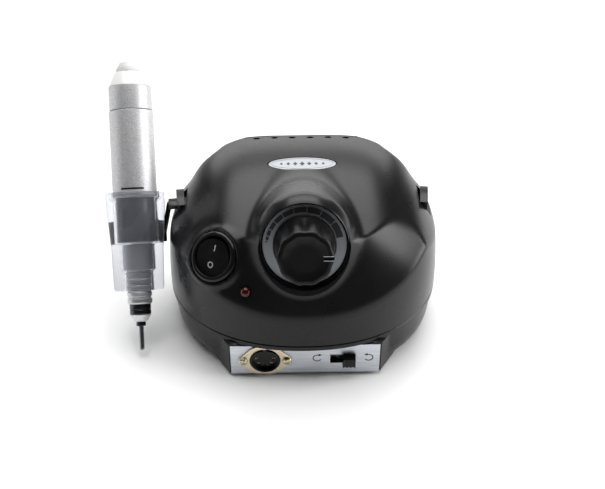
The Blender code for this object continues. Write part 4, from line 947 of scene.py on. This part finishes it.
def build_socket():
    place = forward(SOCKET_X)
    corners = [(14.3, 0), (5.5, 9.6), (-5.5, 9.6), (-14.3, 0), (-5.5, -9.0), (5.5, -9.0)]
    flange = prism("socket_diamond", rounded(corners, 3.2, True, 6), 0.8, 1.7, place)
    holes = [rod("hole", SOCKET_HOLE_RADIUS, -2, 6, place)]
    for side in (-1, 1):
        screw = shifted(place, x=side * SOCKET_SCREW_OFFSET)
        holes.append(rod("hole", SCREW_HOLE_RADIUS, -2, 6, screw, 24))
    dress(soften(combine(flange, holes), 0.18), "brass", replaces=["socket_flange"])
    barrel = ((0, -11), (6.2, -11), (6.2, -2), (7.4, -1.6), (7.4, 2.4), (6.5, 2.4), (6.5, 0.2), (0, 0.2))
    insert = lathe("socket_barrel", barrel, place, 96, fillet=0.2)
    turns = [math.radians(45 * i) for i in range(SOCKET_PINS)]
    pins = [shifted(place, x=PIN_CIRCLE_RADIUS * math.cos(a), y=-PIN_CIRCLE_RADIUS * math.sin(a))
            for a in turns]
    tools = [rod("pin_hole", 0.9, -6, 3, pin, 24) for pin in pins]
    tools.append(block("key_notch", (1.6, 2.4, 3.0), shifted(place, y=6.7, z=2.2)))
    combine(insert, tools)
    dress(insert, "gloss_black", replaces=["socket_insert"])
    sleeve = ((0.72, -5), (0.72, -0.3), (0.45, -0.3), (0.45, -5))
    for i, pin in enumerate(pins):
        dress(lathe(f"socket_contact_{i + 1}", sleeve, pin, 24, True), "brass")
    head = ((0, -6), (1.3, -6), (1.3, 1.8), (2.35, 1.8), (2.35, 2.2), (2.1, 2.6), (1.5, 2.95), (0.8, 3.1),
            (0, 3.1))
    for side, label in SIDES:
        cross_screw(f"flange_screw_{label}", head, forward(SOCKET_X + side * SOCKET_SCREW_OFFSET), "brass",
                    [f"socket_screw_{label}"], turn=0.5 * side)


def ribbed_slider(name, size, ribs, place, body, replaces):
    """A finger slide whose face carries upright ribs."""
    width, depth, height = size
    outline = [(width / 2, depth / 2), (-width / 2, depth / 2)]
    pitch = width / (2 * ribs - 1)
    for i in range(ribs):
        left = -width / 2 + 2 * i * pitch
        outline += [(left, -depth / 2), (left + pitch, -depth / 2)]
        if i < ribs - 1:
            outline += [(left + pitch, 0.35 - depth / 2), (left + 2 * pitch, 0.35 - depth / 2)]
    slider = prism(name, outline, -height / 2, height / 2, place)
    dress(soften(slider, 0.15, 2), "gloss_black", body, replaces)


def build_sliders():
    place = upright((SLIDER_X, PLATE_PLANE_Y - 1.3, FRONT_Z))
    ribbed_slider("direction_slide_key", (6.5, 7.2, 5.2), 4, place, "direction_slide", ["direction_slider"])
    place = upright((MODE_X - 2.2, REAR_WALL_Y - 0.6, REAR_Z)) @ Matrix.Rotation(math.pi, 4, "Z")
    ribbed_slider("mode_slide_key", (4.0, 6.6, 3.6), 3, place, "mode_slide", ["mode_slider"])


# --- rear and underside -----------------------------------------------------
def build_rear():
    end = GLAND_END_Y - REAR_WALL_Y
    profile = [(4.2, -4.4), (4.2, 0.2), (6.2, 0.2), (6.2, 2.2)]
    for i in range(3):
        low, rib, waist = 2.4 + 1.5 * i, 5.9 - 0.3 * i, 5.2 - 0.3 * i
        profile += [(rib, low), (rib, low + 0.9), (waist, low + 1.1), (waist, low + 1.4)]
    profile += [(4.9, end), (3.1, end), (3.1, -4.4)]
    gland = lathe("cord_gland_rubber", profile, rearward(GLAND_X), 64, True, 0.15)
    dress(gland, "rubber", replaces=["mains_cord_gland"])
    profile = ((5.4, -16), (5.4, -3.6), (3.6, -3.6), (3.6, 2.6), (1.9, 2.6), (1.9, -16))
    jack = lathe("pedal_socket", profile, rearward(JACK_X), 64, True, 0.2)
    dress(jack, "gloss_black", replaces=["pedal_jack_body"])
    nut = soften(prism("pedal_socket_nut", ellipse(5.4, 5.4, 6), 0.2, 1.9, rearward(JACK_X)), 0.25)
    dress(combine(nut, [rod("bore", 3.9, -2, 4, rearward(JACK_X))]), "steel", replaces=["pedal_jack_nut"])
    profile = ((0, -28), (6.2, -28), (6.2, 0.2), (7.8, 0.2), (7.8, 1.6), (5.9, 1.6), (5.9, -4), (3.2, -4),
               (3.2, -26), (0, -26))
    holder = lathe("fuse_socket", profile, rearward(FUSE_X), 64, fillet=0.2)
    dress(holder, "gloss_black", replaces=["fuse_holder"])
    knurl = []
    for i in range(KNURL_POINTS):
        radius, turn = 5.55 if i % 2 else 5.25, math.tau * i / KNURL_POINTS
        knurl.append((radius * math.cos(turn), radius * math.sin(turn)))
    cap = soften(prism("fuse_cap_moulding", knurl, -3.4, 3.6, rearward(FUSE_X)), 0.25, 2, 60)
    combine(cap, [block("slot", (7.0, 1.4, 2.4), shifted(rearward(FUSE_X), z=3.6))])
    dress(cap, "gloss_black", "fuse_cap_body", ["fuse_cap"])


def build_underside():
    head = ((0, -15), (1.3, -14), (1.3, -3.2), (3.0, -3.2), (3.0, -1.8), (2.4, -1.0), (0, -1.0))
    for i, (x, y) in enumerate(CASE_SCREWS):
        down = upright((x, y, 0)) @ Matrix.Rotation(math.pi, 4, "X")
        cross_screw(f"base_screw_{i + 1}", head, down, "dark_steel", [f"case_screw_{i + 1}"], 1.6)
    foot = ((0, 0), (2.6, 0), (2.8, 0.3), (3.2, 0.3), (3.4, 0), (5.9, 0), (6.5, 0.6), (6.5, 1.8), (2, 1.8),
            (2, 4.2), (0, 4.2))
    for i, (x, y) in enumerate(FEET):
        dress(lathe(f"foot_pad_{i + 1}", foot, upright((x, y, 0)), 64, fillet=0.12), "rubber",
              replaces=[f"rubber_foot_{i + 1}"])


# --- handpiece --------------------------------------------------------------
def turned_piece(name, profile, finish, body, replaces, fillet=0.2, hollow=True, steps=128):
    dress(lathe(name, profile, HANDPIECE, steps, hollow, fillet), finish, body, replaces)


def build_bit_and_chuck():
    turns = [math.pi / 2 * k / 10 for k in range(11)]
    shank = [(BIT_RADIUS * math.sin(a), BIT_RADIUS - BIT_RADIUS * math.cos(a)) for a in turns]
    shank += [(BIT_RADIUS, 44), (0, 44)]
    turned_piece("bit_shank", shank, "bit_steel", "bit", ["drill_bit"], 0.0, False, 48)
    nut = ((2.2, 12.7), (2.45, 13.0), (2.45, 14.8), (1.35, 14.8), (1.35, 12.7))
    turned_piece("chuck_end", nut, "dark_steel", "spindle_body", ["chuck_nut"], 0.1, steps=64)


def build_nose():
    cone = ((2.9, 15.0), (3.6, 15.6), (5.3, 18.2), (5.5, 18.7), (2.8, 18.7), (2.7, 15.0))
    turned_piece("nose_taper", cone, "cone_steel", GRIP, ["nose_cone"], 0.15)
    ring = ((5.3, 18.9), (5.5, 19.2), (5.5, 21.0), (5.1, 21.3), (5.5, 21.6), (5.5, 24.0), (4.3, 24.0),
            (4.3, 18.9))
    turned_piece("nose_collar", ring, "dark_steel", GRIP, ["nose_ring"], 0.12)
    body = [(5.9, 24.2)]
    for i in range(5):
        low = 25.0 + 3.3 * i
        body += [(6.35, low), (6.35, low + 2.0), (5.8, low + 2.4), (5.8, low + 2.9)]
    body += [(6.35, 41.7), (7.65, 41.9), (7.65, 55.7), (8.6, 55.9), (8.6, 78.8), (6.9, 78.8), (6.9, 44.1),
             (4.3, 44.1), (4.3, 24.2)]
    turned_piece("nose_barrel", body, "body_steel", GRIP, ["nose_body"], 0.25)
    ring = ((9.9, 56.2), (9.9, 79.0), (8.9, 79.0), (8.9, 56.2))
    turned_piece("lock_ring", ring, "blue_black", "twist_ring_body", ["twist_ring"], 0.4)


def build_sleeve():
    """Soft grip that widens from the fingers to the barrel."""
    outside = [(12.5, 31.3), (12.9, 33.0), (13.1, 40.0), (13.4, 52.0), (14.0, 60.0), (14.4, 66.0),
               (15.1, 73.0), (15.35, 80.0), (15.1, 81.9)]
    inside = [(11.9, 81.9), (11.9, 79.0), (10.3, 77.0), (10.3, 56.0), (8.0, 55.0), (8.0, 42.0),
              (6.75, 41.0), (6.75, 31.3)]
    turned_piece("soft_grip", outside + inside, "silicone", GRIP, ["grip_sleeve"], 0.7)


def build_barrel():
    tube = ((11.0, 79.3), (11.45, 80.2), (11.45, 123.8), (11.25, 124.0), (10.2, 124.0), (10.2, 83.0),
            (9.0, 83.0), (9.0, 79.3))
    turned_piece("motor_barrel", tube, "aluminium", GRIP, ["handpiece_barrel"], 0.2)
    cap = ((10.95, 124.3), (11.1, 124.6), (11.1, 136.5), (9.8, 136.5), (9.8, 124.3))
    turned_piece("rear_barrel", cap, "aluminium", GRIP, ["rear_cap"], 0.15)
    shoulder = ((9.8, 136.6), (11.0, 136.6), (10.6, 137.6), (7.8, 144.0), (5.5, 144.0), (5.5, 136.6))
    turned_piece("rear_taper", shoulder, "white_abs", GRIP, ["rear_cap"], 0.3)
    boot = ((5.2, 138.0), (5.2, 144.3), (7.0, 144.3), (6.4, 146.5), (4.8, 149.3), (2.6, 149.3), (2.6, 138.0))
    turned_piece("cord_boot_moulding", boot, "grey_pvc", GRIP, ["cord_boot"], 0.4)
    # A dark dash over part of the barrel's round, just above the grip's end.
    dash = band(11.46, 11.5, 60, 120, 20)
    dress(prism("barrel_dark_dash", dash, 83.0, 84.0, HANDPIECE), "ink", GRIP)


# --- pieces kept from the CAD model -----------------------------------------
CARRIED = {
    "steel": ("potentiometer_shaft", "potentiometer_body", "direction_switch_body", "mode_switch_body",
              "front_bearing", "rear_bearing", "collet", "spindle", "motor_can"),
    "brass": ("potentiometer_nut",),
    "gloss_black": ("rocker_switch_body", "power_transistor"),
    "dark_steel": ("transformer_core",),
    "copper": ("transformer_winding", "motor_rotor"),
    "board": ("control_board",),
    "blue_black": ("smoothing_capacitor",),
    "aluminium": ("heat_sink",),
    "glass": ("fuse",),
}


def finish_carried_nodes():
    for finish, names in CARRIED.items():
        for name in names:
            node = frame["nodes"][name]
            node.data.materials.clear()
            node.data.materials.append(FINISHES[finish])


# --- studio -----------------------------------------------------------------
CAMERA_TARGET = (-0.2, -4.7, 40.0)
CAMERA_DISTANCE = 515.8
CAMERA_TURN = math.radians(-1.05)
CAMERA_ELEVATION = math.radians(38.0)
CAMERA_ROLL = math.radians(-0.11)
CAMERA_LENS = 57.72


def build_camera():
    data = bpy.data.cameras.new("camera")
    data.lens = CAMERA_LENS
    data.sensor_width = 36.0
    data.clip_start = 0.01
    camera = bpy.data.objects.new("camera", data)
    bpy.context.scene.collection.objects.link(camera)
    back = Vector((math.sin(CAMERA_TURN) * math.cos(CAMERA_ELEVATION),
                   -math.cos(CAMERA_TURN) * math.cos(CAMERA_ELEVATION), math.sin(CAMERA_ELEVATION)))
    aim = (-back).to_track_quat("-Z", "Y").to_matrix().to_4x4()
    camera.matrix_world = (Matrix.Translation(placed(CAMERA_TARGET) + back * CAMERA_DISTANCE * MM) @ aim
                           @ Matrix.Rotation(CAMERA_ROLL, 4, "Z"))
    bpy.context.scene.camera = camera


def softbox(name, place, aim, size, power):
    """A rectangular studio light. Places and sizes are in metres."""
    data = bpy.data.lights.new(name, "AREA")
    data.shape = "RECTANGLE"
    data.size, data.size_y = size
    data.energy = power
    light = bpy.data.objects.new(name, data)
    bpy.context.scene.collection.objects.link(light)
    turn = (Vector(aim) - Vector(place)).to_track_quat("-Z", "Y").to_matrix().to_4x4()
    light.matrix_world = Matrix.Translation(Vector(place)) @ turn


def build_studio():
    floor = new_mesh("studio_floor", [(-9000, -9000, 0), (9000, -9000, 0), (9000, 9000, 0), (-9000, 9000, 0)],
                     [(0, 1, 2, 3)], Matrix.Identity(4))
    paper = plain("paper_floor", (0.95, 0.95, 0.95), 0.9)
    mottled(paper, texture(paper, 3.0), (0.94, 0.94, 0.94), (0.96, 0.96, 0.96))
    floor.data.materials.append(paper)
    softbox("overhead", (0.0, 0.95, 1.90), (0.0, 0.55, 0.0), (2.0, 2.9), 78.0)
    softbox("low_back", (0.0, 2.20, 0.62), (0.0, 0.0, 0.06), (2.4, 0.7), 13.0)
    softbox("right_side", (1.10, -0.05, 0.42), (0.0, 0.0, 0.05), (0.7, 0.7), 12.0)
    softbox("left_side", (-1.20, 0.10, 0.45), (0.0, 0.0, 0.05), (0.7, 0.9), 3.0)
    world = bpy.data.worlds.new("studio")
    world.use_nodes = True
    world.node_tree.nodes["Background"].inputs["Color"].default_value = (1.0, 1.0, 1.0, 1.0)
    world.node_tree.nodes["Background"].inputs["Strength"].default_value = 0.03
    bpy.context.scene.world = world
    bpy.context.scene.view_settings.view_transform = "Standard"


build_camera()
build_studio()
build_upper_shell()
build_vent_strip()
build_lower_shell()
build_dial()
build_knob()
build_rocker()
build_lamp()
build_badge()
build_side_inserts()
build_rest()
build_front_plate()
build_socket()
build_sliders()
build_rear()
build_underside()
build_bit_and_chuck()
build_nose()
build_sleeve()
build_barrel()
finish_carried_nodes()
